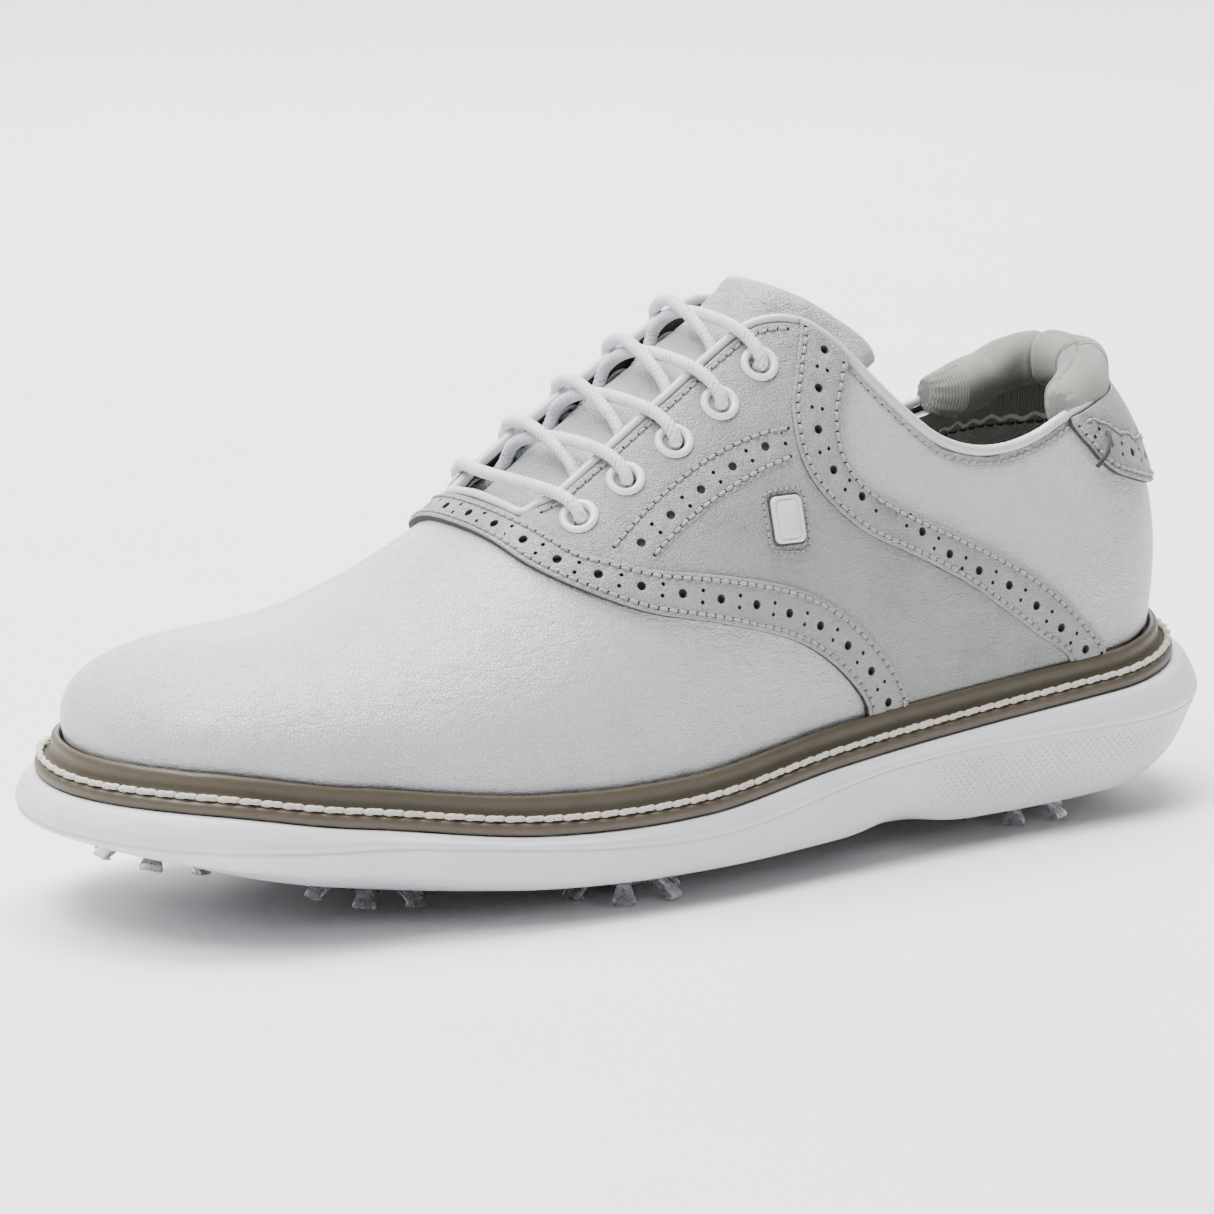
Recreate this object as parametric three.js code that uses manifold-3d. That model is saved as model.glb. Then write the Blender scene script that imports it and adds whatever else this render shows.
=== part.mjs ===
// Left golf shoe: a spikeless-look saddle oxford on a welted sole with seven twist-in cleats.
// Millimetres, +Z up, toe at -X, heel at +X, outer (lateral) side at -Y.
import * as THREE from "three";
import { mergeVertices } from "three/addons/utils/BufferGeometryUtils.js";
import Module from "manifold-3d";

const wasm = await Module();
wasm.setup();

// ---------- driving dimensions ----------
const LATERAL = -1;
const MEDIAL = 1;
const SIDES = [LATERAL, MEDIAL];
const SIDE_NAME = { [LATERAL]: "lateral", [MEDIAL]: "medial" };
const CENTRE_SHIFT = new THREE.Vector3(5.65, 0.85, 0); // puts the origin under the middle of the shoe

// The sole's spine runs from the toe centre to the heel centre; a round fan closes each end.
const TOE_X = -104;
const TOE_Y = 3;
const TOE_FAN = 46; // arc length per radian of the toe fan
const HEEL_X = 105;
const HEEL_Y = 4;
const HEEL_FAN = 38;
// A station is the length along the spine, continued round the fans to the toe tip and the heel back.
const TOE_TIP = TOE_X - (TOE_FAN * Math.PI) / 2;
const HEEL_BACK = HEEL_X + (HEEL_FAN * Math.PI) / 2;

// Each table is [station, value]; values between stations follow a smooth curve.
const WELT_LATERAL = [
  [TOE_TIP, 48.5], [-145, 48], [TOE_X, 47.5], [-62, 55.5], [-20, 56.5],
  [20, 50.5], [58, 45], [HEEL_X, 41], [134, 38.5], [HEEL_BACK, 36.5],
];
const WELT_MEDIAL = [
  [TOE_TIP, 48.5], [-145, 48.5], [TOE_X, 46], [-62, 47.5], [-20, 40.5],
  [20, 33], [58, 31.5], [HEEL_X, 36], [134, 38], [HEEL_BACK, 36.5],
];
const FEATHER_Z = [
  [TOE_TIP, 39], [-135, 38.5], [TOE_X, 34], [-62, 28.5], [-20, 28],
  [20, 32.5], [62, 35.5], [HEEL_X, 38.5], [HEEL_BACK, 43],
];
// Height of the upper's ridge over each X.
const RIDGE_Z = [
  [-155, 64], [TOE_X, 63], [-78, 68.5], [-52, 81], [-31, 98], [0, 119],
  [25, 133], [45, 132], [65, 120], [95, 114], [140, 112],
];
const BULGE = [
  [TOE_TIP, 1.5], [TOE_X, 3], [-40, 2], [20, 1], [60, 1.5], [HEEL_X, 1.5], [HEEL_BACK, 1.5],
];
const FEATHER_INSET = 6; // the upper stands this far inside the welt's edge
const ACROSS_POWER = 2.3; // squareness of the upper's section, across and in height
const HEIGHT_POWER = 2.1;

const COVER = [0.45, 1.5]; // offsets of the grey cover leather from the white leather's outer face
const HEEL_COVER = [0.75, 1.8];
const BASE = [-1.3, 0]; // white vamp and quarters
const STIFFENER = [-3.1, -2.1]; // toe puff and heel counter
const LINING = [-5.0, -3.9];

const LACE_RADIUS = 1.4;
const EYELETS = [[-36, 0.86], [-24, 0.855], [-11, 0.85], [2, 0.85], [14, 0.86]];
const EYELET_HOLE = 2.6;
const EYELET_BARREL = 3.1;
const EYELET_FLANGE = 4.5;

// Height share of the throat and topline edge at each station.
const TOP_EDGE = [
  [-47, 0.965], [-43, 0.955], [-36, 0.93], [-10, 0.93], [15, 0.93], [25, 0.9], [31, 0.865],
  [37, 0.81], [43, 0.75], [50, 0.7], [60, 0.665], [75, 0.65], [84, 0.67], [93, 0.7],
  [103, 0.75], [122, 0.79], [HEEL_BACK, 0.81],
];
// Edges that depend on the distance across from the ridge (0) to the feather line (1).
const VAMP_END = [
  [0, -49], [0.2, -48], [0.4, -44], [0.6, -29], [0.72, -10], [0.82, 8], [0.9, 24], [1, 35],
];
const BAND_FRONT = [
  [0, -53], [0.185, -52], [0.36, -49], [0.53, -41], [0.66, -29], [0.765, -9], [0.87, 14],
  [0.95, 28], [1, 33],
];
const BAND_REAR = [
  [0, -46.5], [0.2, -45], [0.41, -40], [0.49, -35], [0.58, -26], [0.67, -10], [0.79, 15],
  [0.875, 31], [0.955, 42], [1, 45],
];
// Edges that depend on the height share.
const REAR_BAND_FRONT = [
  [0, 95], [0.13, 83], [0.23, 72], [0.31, 61], [0.37, 45], [0.42, 34], [0.51, 24], [0.62, 18],
  [0.74, 18], [0.82, 22.5], [0.9, 27],
];
const REAR_BAND_REAR = [
  [0, 106], [0.13, 99], [0.26, 88], [0.355, 76], [0.43, 61], [0.46, 48], [0.52, 36], [0.6, 30],
  [0.69, 30.5], [0.75, 34], [0.82, 37],
];
const HEEL_TAB_EDGE = [
  [100, 0.73], [104, 0.67], [110, 0.59], [116, 0.55], [138, 0.475], [HEEL_BACK, 0.46],
];
const LINING_TOP = [
  [-30, 0.58], [20, 0.58], [40, 0.5], [60, 0.4], [100, 0.42], [HEEL_BACK, 0.47],
];

// Sole.
const SIDE_FLARE = [
  [TOE_TIP, 4.9], [TOE_X, 3.2], [-20, 2], [40, 3], [HEEL_X, 4.1], [HEEL_BACK, 4.6],
];
const SIDE_Z = [
  [TOE_TIP, 23.5], [TOE_X, 21], [-20, 14.5], [40, 22], [HEEL_X, 23], [HEEL_BACK, 25],
];
const RIM_Z = [
  [TOE_TIP, 20], [TOE_X, 13], [-62, 7.5], [-20, 6.3], [30, 7], [60, 5.6], [HEEL_X, 6.3],
  [HEEL_BACK, 11.5],
];
const RIM_INSET = [
  [TOE_TIP, 9.7], [TOE_X, 5.8], [-20, 2.5], [40, 1.5], [HEEL_X, 1.5], [HEEL_BACK, 8],
];
const TREAD_Z = 6.3; // underside of the sole above the ground
const TOE_SPRING = { from: -50, reach: 60, rise: 5.2 };
const HEEL_BEVEL = { from: 112, reach: 30, rise: 3 };
const WELT_DEPTH = 8;

const CLEATS = [
  [-120, 20], [-85, -14], [-72, 24], [-30, -34], [-16, 18], [88, -19], [94, 21],
];
const RECEPTACLE_RADIUS = 8.6;
const GAP = 0.3;

// ---------- curves and surfaces ----------
function smooth(table, s) {
  const last = table.length - 1;
  const x = Math.min(Math.max(s, table[0][0]), table[last][0]);
  let i = 0;
  while (i < last - 1 && x >= table[i + 1][0]) i += 1;
  const slope = (k) =>
    k === 0 || k === last
      ? 0
      : (table[k + 1][1] - table[k - 1][1]) / (table[k + 1][0] - table[k - 1][0]);
  const [x0, y0] = table[i];
  const [x1, y1] = table[i + 1];
  const h = x1 - x0;
  const t = (x - x0) / h;
  const t2 = t * t;
  const t3 = t2 * t;
  return (
    (2 * t3 - 3 * t2 + 1) * y0 +
    (t3 - 2 * t2 + t) * h * slope(i) +
    (3 * t2 - 2 * t3) * y1 +
    (t3 - t2) * h * slope(i + 1)
  );
}

const clamp = THREE.MathUtils.clamp;
const lerp = THREE.MathUtils.lerp;

function spine(station, side) {
  const toe = clamp((TOE_X - station) / TOE_FAN, 0, Math.PI / 2);
  const heel = clamp((station - HEEL_X) / HEEL_FAN, 0, Math.PI / 2);
  const x = clamp(station, TOE_X, HEEL_X);
  const y = lerp(TOE_Y, HEEL_Y, THREE.MathUtils.smoothstep(x, TOE_X, HEEL_X));
  const dx = Math.sin(heel) - Math.sin(toe);
  const dy = side * Math.cos(toe) * Math.cos(heel);
  return { x, y, dx, dy };
}

const weltRadius = (station, side) =>
  smooth(side === LATERAL ? WELT_LATERAL : WELT_MEDIAL, station);

// Height of the feather line's plane over the sole, level across each fan's centre.
function feltZ(station, side, radius) {
  const middle = smooth(FEATHER_Z, clamp(station, TOE_X, HEEL_X));
  return lerp(middle, smooth(FEATHER_Z, station), radius / weltRadius(station, side));
}

function planPoint(station, side, radius, z) {
  const s = spine(station, side);
  return new THREE.Vector3(s.x + s.dx * radius, s.y + s.dy * radius, z);
}

// The outer face of the white leather: station along, height share from feather line to ridge.
function upperFace(station, height, side) {
  const s = spine(station, side);
  const reach = weltRadius(station, side) - FEATHER_INSET;
  const share = Math.pow(
    Math.max(0, 1 - Math.pow(clamp(height, 0, 1), HEIGHT_POWER)),
    1 / ACROSS_POWER,
  );
  const low = smooth(FEATHER_Z, station);
  const high = smooth(RIDGE_Z, s.x + s.dx * reach * share);
  const swell = smooth(BULGE, station) * Math.sin(Math.PI * clamp(height * 1.15, 0, 1));
  const radius = reach * share + swell;
  return new THREE.Vector3(
    s.x + s.dx * radius,
    s.y + s.dy * radius,
    low + (high - low) * height,
  );
}

// Distance across, 0 on the ridge and 1 at the feather line, against the height share.
const heightAcross = (across) =>
  Math.pow(Math.sin(((1 - Math.abs(across)) * Math.PI) / 2), 2 / HEIGHT_POWER);
const acrossAt = (height) =>
  1 - (2 / Math.PI) * Math.asin(Math.pow(clamp(height, 0, 1), HEIGHT_POWER / 2));

function upperNormal(station, height, face) {
  const onCentreLine = station <= TOE_TIP || station >= HEEL_BACK;
  const side = onCentreLine ? LATERAL : face;
  const ds = 0.5;
  const s0 = clamp(station, TOE_TIP + ds, HEEL_BACK - ds);
  const across = clamp(acrossAt(height), 0.02, 0.98);
  const da = 0.01;
  const along = upperFace(s0 + ds, height, side).sub(upperFace(s0 - ds, height, side));
  const round = upperFace(s0, heightAcross(across + da), side).sub(
    upperFace(s0, heightAcross(across - da), side),
  );
  const n = along.cross(round).normalize();
  const s = spine(station, side);
  const outward = n.x * s.dx + n.y * s.dy + n.z * 0.5;
  if (outward < 0) n.negate();
  if (onCentreLine) n.setY(0).normalize();
  return n;
}

function ridgeNormal(x) {
  const dz = (smooth(RIDGE_Z, x + 1) - smooth(RIDGE_Z, x - 1)) / 2;
  return new THREE.Vector3(-dz, 0, 1).normalize();
}

function upperPoint(station, height, side, offset) {
  const p = upperFace(station, height, side);
  const across = acrossAt(height);
  const n = upperNormal(station, height, side);
  const near = THREE.MathUtils.smoothstep(across, 0, 0.12);
  const mixed = ridgeNormal(p.x).lerp(n, near).normalize();
  return p.addScaledVector(mixed, offset);
}

// ---------- closed meshes ----------
// Merges equal corners, drops collapsed triangles and turns the faces outwards.
function closed(points, faces) {
  const keys = new Map();
  const unique = [];
  const index = points.map((p) => {
    const key = [p.x, p.y, p.z].map((v) => Math.round(v * 1000)).join();
    if (!keys.has(key)) {
      keys.set(key, unique.length);
      unique.push(p);
    }
    return keys.get(key);
  });
  const kept = faces
    .map((f) => f.map((i) => index[i]))
    .filter(([a, b, c]) => a !== b && b !== c && a !== c);
  const volume = kept.reduce(
    (sum, [a, b, c]) =>
      sum + unique[a].dot(new THREE.Vector3().crossVectors(unique[b], unique[c])),
    0,
  );
  const order = volume < 0 ? kept.map(([a, b, c]) => [a, c, b]) : kept;
  const geometry = new THREE.BufferGeometry();
  geometry.setAttribute(
    "position",
    new THREE.Float32BufferAttribute(unique.flatMap((p) => [p.x, p.y, p.z]), 3),
  );
  geometry.setIndex(order.flat());
  geometry.computeVertexNormals();
  return geometry;
}

function quads(rows, cols, at, wrap = false) {
  const faces = [];
  for (let i = 0; i < rows - (wrap ? 0 : 1); i += 1) {
    for (let j = 0; j < cols - 1; j += 1) {
      const a = at(i, j);
      const b = at((i + 1) % rows, j);
      const c = at((i + 1) % rows, j + 1);
      const d = at(i, j + 1);
      faces.push([a, b, c], [a, c, d]);
    }
  }
  return faces;
}

// A leather panel: place(u, v, offset) gives its faces, u and v from 0 to 1.
// glued names the u = 0 edge that folds onto itself and so has no wall.
function panel(place, nu, nv, [inner, outer], glued = false) {
  const points = [];
  for (const offset of [outer, inner]) {
    for (let i = 0; i <= nu; i += 1) {
      for (let j = 0; j <= nv; j += 1) points.push(place(i / nu, j / nv, offset));
    }
  }
  const half = (nu + 1) * (nv + 1);
  const at = (i, j) => i * (nv + 1) + j;
  const top = quads(nu + 1, nv + 1, at);
  const faces = [...top, ...top.map(([a, b, c]) => [half + a, half + c, half + b])];
  const wall = (a, b) => faces.push([b, a, half + a], [b, half + a, half + b]);
  for (let i = 0; i < nu; i += 1) {
    wall(at(i, 0), at(i + 1, 0));
    wall(at(i + 1, nv), at(i, nv));
  }
  for (let j = 0; j < nv; j += 1) {
    if (!glued) wall(at(0, j + 1), at(0, j));
    wall(at(nu, j), at(nu, j + 1));
  }
  return closed(points, faces);
}

// Stations all the way round the sole, crowded towards the two fans.
const RING = [];
const TOE_STEPS = 7;
const SHANK_STEPS = 9;
const HEEL_STEPS = 5;
for (let i = 0; i < TOE_STEPS; i += 1) RING.push(lerp(TOE_TIP, TOE_X, i / TOE_STEPS));
for (let i = 0; i < SHANK_STEPS; i += 1) RING.push(lerp(TOE_X, HEEL_X, i / SHANK_STEPS));
for (let i = 0; i <= HEEL_STEPS; i += 1) RING.push(lerp(HEEL_X, HEEL_BACK, i / HEEL_STEPS));
const LOOP = [
  ...RING.map((station) => ({ station, side: LATERAL })),
  ...RING.slice(1, -1).reverse().map((station) => ({ station, side: MEDIAL })),
];

// A slab round the whole sole: profile(station, side) lists points from the top's middle
// to the bottom's middle.
function slab(profile) {
  const rows = LOOP.map(({ station, side }) => profile(station, side));
  const cols = rows[0].length;
  return closed(rows.flat(), quads(rows.length, cols, (i, j) => i * cols + j, true));
}

// A band round the whole sole with a closed section of [distance from the edge, height].
function band(section, loop = LOOP) {
  const points = [];
  for (const { station, side } of loop) {
    const r = weltRadius(station, side);
    const z = smooth(FEATHER_Z, station);
    for (const [dr, dz] of section) points.push(planPoint(station, side, r + dr, z + dz));
  }
  const cols = section.length;
  const faces = quads(loop.length, cols + 1, (i, j) => i * cols + (j % cols), true);
  return closed(points, faces);
}

function tube(points, radius, sides, steps, isClosed = false) {
  const path = new THREE.CatmullRomCurve3(points, isClosed, "centripetal");
  const section = new THREE.Shape();
  for (let i = 0; i < sides; i += 1) {
    const angle = (i / sides) * Math.PI * 2;
    const x = radius * Math.cos(angle);
    const y = radius * Math.sin(angle);
    if (i === 0) section.moveTo(x, y);
    else section.lineTo(x, y);
  }
  section.closePath();
  return new THREE.ExtrudeGeometry(section, { steps, extrudePath: path, bevelEnabled: false });
}

// ---------- solids for cutting and joining ----------
function solid(geometry, matrix) {
  const bare = geometry.clone();
  if (matrix) bare.applyMatrix4(matrix);
  bare.deleteAttribute("normal");
  bare.deleteAttribute("uv");
  const merged = mergeVertices(bare.index ? bare.toNonIndexed() : bare, 1e-4);
  return new wasm.Manifold(
    new wasm.Mesh({
      numProp: 3,
      vertProperties: merged.attributes.position.array,
      triVerts: new Uint32Array(merged.index.array),
    }),
  );
}

function geometryOf(manifold) {
  const mesh = manifold.getMesh();
  const geometry = new THREE.BufferGeometry();
  geometry.setAttribute("position", new THREE.BufferAttribute(mesh.vertProperties, 3));
  geometry.setIndex(new THREE.BufferAttribute(mesh.triVerts, 1));
  geometry.computeVertexNormals();
  return geometry;
}

// Cuts a round hole of the given radius from bottom to top at every frame.
function drilled(geometry, frames, radius, bottom, top, sides = 12) {
  const drill = new THREE.CylinderGeometry(radius, radius, top - bottom, sides);
  drill.rotateX(Math.PI / 2);
  drill.translate(0, 0, (top + bottom) / 2);
  return geometryOf(
    frames.reduce((left, frame) => left.subtract(solid(drill, frame)), solid(geometry)),
  );
}

// ---------- scene graph ----------
const shoe = new THREE.Group();
shoe.position.copy(CENTRE_SHIFT);

const leather = (color) => new THREE.MeshStandardMaterial({ color, roughness: 0.55 });
const whiteLeather = leather(0xe4e4ea);
const greyLeather = leather(0xbfc6c3);
const liningFabric = new THREE.MeshStandardMaterial({ color: 0xb4b7ab, roughness: 0.9 });
const foam = new THREE.MeshStandardMaterial({ color: 0xe6e6ee, roughness: 0.6 });
const weltRubber = new THREE.MeshStandardMaterial({ color: 0x7a6e5a, roughness: 0.5 });
const thread = new THREE.MeshStandardMaterial({ color: 0xe2ded0, roughness: 0.8 });
const clearPlastic = new THREE.MeshStandardMaterial({ color: 0xb8bcc4, roughness: 0.25 });
const darkPlastic = new THREE.MeshStandardMaterial({ color: 0x4a4d52, roughness: 0.4 });
const fibreBoard = new THREE.MeshStandardMaterial({ color: 0xa88b64, roughness: 0.9 });
const steel = new THREE.MeshStandardMaterial({ color: 0x8f9499, roughness: 0.35, metalness: 1 });
const whitePlastic = new THREE.MeshStandardMaterial({ color: 0xf0f0f2, roughness: 0.35 });

function add(name, geometry, material, parent = shoe) {
  const mesh = new THREE.Mesh(geometry, material.clone());
  mesh.name = name;
  parent.add(mesh);
  return mesh;
}

// ---------- sole ----------
function treadZ(x) {
  const toe = Math.max(0, TOE_SPRING.from - x) / TOE_SPRING.reach;
  const heel = Math.max(0, x - HEEL_BEVEL.from) / HEEL_BEVEL.reach;
  return TREAD_Z + TOE_SPRING.rise * toe * toe + HEEL_BEVEL.rise * heel * heel;
}

const WELT_CORE = 7.2; // the midsole's raised middle starts this far in from the welt's edge
const TREAD_EDGE = 9; // from the rim to the flat tread
const TREAD_RECESS = 1.6; // the plate sits this deep in the midsole

function midsole() {
  return slab((station, side) => {
    const r = weltRadius(station, side);
    const z = smooth(FEATHER_Z, station);
    const coreRadius = r - WELT_CORE;
    const flare = smooth(SIDE_FLARE, station);
    const sideZ = smooth(SIDE_Z, station);
    const rimZ = smooth(RIM_Z, station);
    const inset = smooth(RIM_INSET, station);
    const at = (radius, height) => planPoint(station, side, radius, height);
    const tread = at(r - inset - TREAD_EDGE, 0);
    tread.z = treadZ(tread.x) + TREAD_RECESS;
    const middle = at(0, 0);
    middle.z = treadZ(middle.x) + TREAD_RECESS;
    return [
      at(0, feltZ(station, side, 0) - 4.6),
      at(coreRadius, feltZ(station, side, coreRadius) - 4.6),
      at(coreRadius, z - WELT_DEPTH),
      at(r + 0.3 * flare, z - WELT_DEPTH),
      at(r + flare, lerp(sideZ, z - WELT_DEPTH, 0.35)),
      at(r + flare, sideZ),
      at(r + 0.4 * flare - 0.35 * inset, lerp(sideZ, rimZ, 0.65)),
      at(r - inset, rimZ),
      tread,
      middle,
    ];
  });
}

function outsole() {
  return slab((station, side) => {
    const r = weltRadius(station, side) - smooth(RIM_INSET, station) - TREAD_EDGE - 0.4;
    const at = (radius, rise) => {
      const p = planPoint(station, side, radius, 0);
      p.z = treadZ(p.x) + rise;
      return p;
    };
    const top = TREAD_RECESS - GAP;
    return [at(0, top), at(r, top), at(r, -0.7), at(0, -0.7)];
  });
}

// A flat slab between two heights over the feather line, inset from the welt's edge.
function sheetSlab(inset, low, high) {
  return slab((station, side) => {
    const r = weltRadius(station, side) - inset;
    const at = (radius, rise) =>
      planPoint(station, side, radius, feltZ(station, side, radius) + rise);
    return [at(0, high), at(r, high), at(r, low), at(0, low)];
  });
}

const SHANK = { from: -12, to: 84, halfWidth: 7, low: -6.6, high: -5.0 };
function shankStrip(grow) {
  const place = (u, v, offset) => {
    const x = lerp(SHANK.from - grow, SHANK.to + grow, u);
    const y = spine(x, LATERAL).y + (SHANK.halfWidth + grow) * (2 * v - 1);
    return new THREE.Vector3(x, y, smooth(FEATHER_Z, x) + offset);
  };
  return panel(place, 6, 1, [SHANK.low - grow, grow ? 0 : SHANK.high]);
}

const cleatFrames = CLEATS.map(([x, y]) => {
  const z = treadZ(x);
  const slope = (treadZ(x + 1) - treadZ(x - 1)) / 2;
  const frame = new THREE.Matrix4().makeRotationY(-Math.atan(slope));
  return frame.setPosition(x, y, z);
});

function receptacle() {
  const r = RECEPTACLE_RADIUS;
  const profile = [[0, 5.6], [r - 1.2, 5.6], [r, 4.6], [r, -0.5], [4.7, -0.5], [4.7, 3.9], [0, 3.9]];
  const geometry = new THREE.LatheGeometry(
    profile.reverse().map(([x, y]) => new THREE.Vector2(x, y)),
    10,
  );
  return geometry.rotateX(Math.PI / 2);
}

// Hub with a threaded post above and six splayed legs below.
const CLEAT_LEGS = 6;
function cleat() {
  const profile = [
    [0, -4], [7, -3.3], [9.4, -2.4], [9.4, -1.0], [4.3, -1.0], [4.3, 3.5], [0, 3.5],
  ];
  const hub = new THREE.LatheGeometry(
    profile.map(([x, y]) => new THREE.Vector2(x, y)),
    CLEAT_LEGS,
    Math.PI / CLEAT_LEGS,
  );
  hub.rotateX(Math.PI / 2);
  let whole = solid(hub);
  for (let i = 0; i < CLEAT_LEGS; i += 1) {
    const leg = new THREE.Shape();
    leg.moveTo(6.2, -1.5);
    leg.lineTo(11, -1.7);
    leg.lineTo(13.4, -TREAD_Z);
    leg.lineTo(10.6, -TREAD_Z);
    leg.closePath();
    const geometry = new THREE.ExtrudeGeometry(leg, { depth: 3.6, bevelEnabled: false });
    geometry.translate(0, 0, -1.8);
    geometry.rotateX(Math.PI / 2);
    const turn = new THREE.Matrix4().makeRotationZ((i * 2 * Math.PI) / CLEAT_LEGS);
    whole = whole.add(solid(geometry, turn));
  }
  return geometryOf(whole);
}

const pocketed = drilled(midsole(), cleatFrames, RECEPTACLE_RADIUS + GAP, -4, 6, 12);
add("midsole", geometryOf(solid(pocketed).subtract(solid(shankStrip(0.4)))), foam);
add(
  "outsole",
  drilled(outsole(), cleatFrames, RECEPTACLE_RADIUS + GAP, -4, 6, 12),
  clearPlastic,
);
add("shank", shankStrip(0), steel);
add("insole_board", sheetSlab(7.6, -4.2, -2.2), fibreBoard);
add("sockliner", sheetSlab(FEATHER_INSET + 6.2, -1.8, 2.2), liningFabric);

cleatFrames.forEach((frame, i) => {
  const group = new THREE.Group();
  group.applyMatrix4(frame);
  shoe.add(group);
  add(`cleat_receptacle_${i + 1}`, receptacle(), darkPlastic, group);
  add(`cleat_${i + 1}`, cleat(), clearPlastic, group);
});

const WELT_SECTION = [
  [-6.8, -7.6], [0, -7.6], [0, -5], [-1.8, -4.6], [-2.9, -3.4], [-3.1, -0.9], [-4.2, 0],
  [-4.5, -1.2], [-6.8, -1.6],
];
add("welt", band(WELT_SECTION), weltRubber);
const STITCH_SECTION = [[-1.6, -4.2], [-0.7, -4.5], [-0.5, -3.7], [-1.7, -3.2], [-2.5, -3.4]];
add("welt_stitch", band(STITCH_SECTION), thread);

// ---------- upper ----------
const fromAcross = (across) => ({
  side: across < 0 ? LATERAL : MEDIAL,
  height: heightAcross(across),
});

// Over the toe and the ridge: u from the toe tip back, v from lateral to medial feather line.
function capPanel(endAt, nu, nv, offsets) {
  const place = (u, v, offset) => {
    const across = 2 * v - 1;
    const { side, height } = fromAcross(across);
    const station = lerp(TOE_TIP, smooth(endAt, Math.abs(across)), u);
    return upperPoint(station, height, side, offset);
  };
  return panel(place, nu, nv, offsets, true);
}

// Round the heel: u from the lateral front edge over the heel back to the medial front edge.
function wrapPanel(front, low, high, nu, nv, offsets) {
  const place = (u, v, offset) => {
    const away = Math.abs(2 * u - 1);
    const station = lerp(HEEL_BACK, front, Math.pow(away, 1.4));
    const side = u < 0.5 ? LATERAL : MEDIAL;
    return upperPoint(station, lerp(low(station), high(station), v), side, offset);
  };
  return panel(place, nu, nv, offsets);
}

add("vamp", capPanel(VAMP_END, 13, 14, BASE), whiteLeather);
add("toe_puff", capPanel([[0, -98], [1, -90]], 6, 12, STIFFENER), fibreBoard);
add(
  "vamp_lining",
  capPanel([[0, -53], [0.3, -49], [0.5, -39], [0.7, -33], [1, -31]], 9, 12, LINING),
  liningFabric,
);

const eyeletFrames = Object.fromEntries(
  SIDES.map((side) => [
    side,
    EYELETS.map(([station, height]) => {
      const normal = upperPoint(station, height, side, 1).sub(upperPoint(station, height, side, 0));
      const turn = new THREE.Quaternion().setFromUnitVectors(new THREE.Vector3(0, 0, 1), normal);
      const origin = upperPoint(station, height, side, 0);
      return new THREE.Matrix4().compose(origin, turn, new THREE.Vector3(1, 1, 1));
    }),
  ]),
);
const drillEyelets = (geometry, side) =>
  drilled(geometry, eyeletFrames[side], EYELET_BARREL + GAP, -4, 4, 8);

const SEAM = 0.9; // station gap between butted cover panels
const BASE_SEAM = 3; // the white panels end this far apart under the cover leather
const EYESTAY_LOW = 0.65;
const edgeAt = (station) => smooth(TOP_EDGE, station) - 0.006;

function quarter(side) {
  const place = (u, v, offset) => {
    const height = v * 0.96;
    const front = smooth(VAMP_END, acrossAt(height)) + BASE_SEAM;
    const station = lerp(HEEL_BACK - SEAM, front, Math.pow(1 - u, 1.4));
    return upperPoint(station, v * edgeAt(station), side, offset);
  };
  return drillEyelets(panel(place, 18, 6, BASE), side);
}

function saddle(side) {
  const place = (u, v, offset) => {
    const height = v * (EYESTAY_LOW - 0.006);
    const front = smooth(BAND_REAR, acrossAt(height)) + SEAM;
    const station = lerp(front, smooth(REAR_BAND_FRONT, height) - SEAM, u);
    return upperPoint(station, height, side, offset);
  };
  return panel(place, 8, 8, COVER);
}

function eyestay(side) {
  const place = (u, v, offset) => {
    const front = smooth(BAND_REAR, acrossAt(lerp(EYESTAY_LOW, 0.955, v))) + 1.5 * SEAM;
    const rear = smooth(REAR_BAND_FRONT, lerp(EYESTAY_LOW, 0.91, v)) - 1.2 * SEAM;
    const station = lerp(front, rear, u);
    return upperPoint(station, lerp(EYESTAY_LOW, edgeAt(station), v), side, offset);
  };
  return drillEyelets(panel(place, 9, 5, COVER), side);
}

function rearBand(side) {
  const place = (u, v, offset) => {
    const front = [smooth(REAR_BAND_FRONT, v * 0.89), v * 0.89];
    const rear = [smooth(REAR_BAND_REAR, v * 0.8), v * 0.8];
    return upperPoint(lerp(front[0], rear[0], u), lerp(front[1], rear[1], u), side, offset);
  };
  return panel(place, 2, 14, COVER);
}

function frontBand() {
  const place = (u, v, offset) => {
    const across = 2 * v - 1;
    const { side, height } = fromAcross(across);
    const away = Math.abs(across);
    const station = lerp(smooth(BAND_FRONT, away), smooth(BAND_REAR, away), u);
    return upperPoint(station, height, side, offset);
  };
  return panel(place, 2, 24, COVER);
}

add("front_band", frontBand(), greyLeather);
for (const side of SIDES) {
  const name = SIDE_NAME[side];
  add(`quarter_${name}`, quarter(side), whiteLeather);
  add(`saddle_${name}`, saddle(side), greyLeather);
  add(`eyestay_${name}`, eyestay(side), greyLeather);
  add(`rear_band_${name}`, rearBand(side), greyLeather);
}
add(
  "heel_tab",
  wrapPanel(102, (s) => smooth(HEEL_TAB_EDGE, s), (s) => edgeAt(s), 12, 3, HEEL_COVER),
  greyLeather,
);
add(
  "heel_counter",
  wrapPanel(70, () => 0.03, () => 0.38, 12, 3, STIFFENER),
  fibreBoard,
);
add(
  "quarter_lining",
  wrapPanel(-28, () => 0.01, (s) => smooth(LINING_TOP, s), 26, 3, LINING),
  liningFabric,
);

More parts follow.
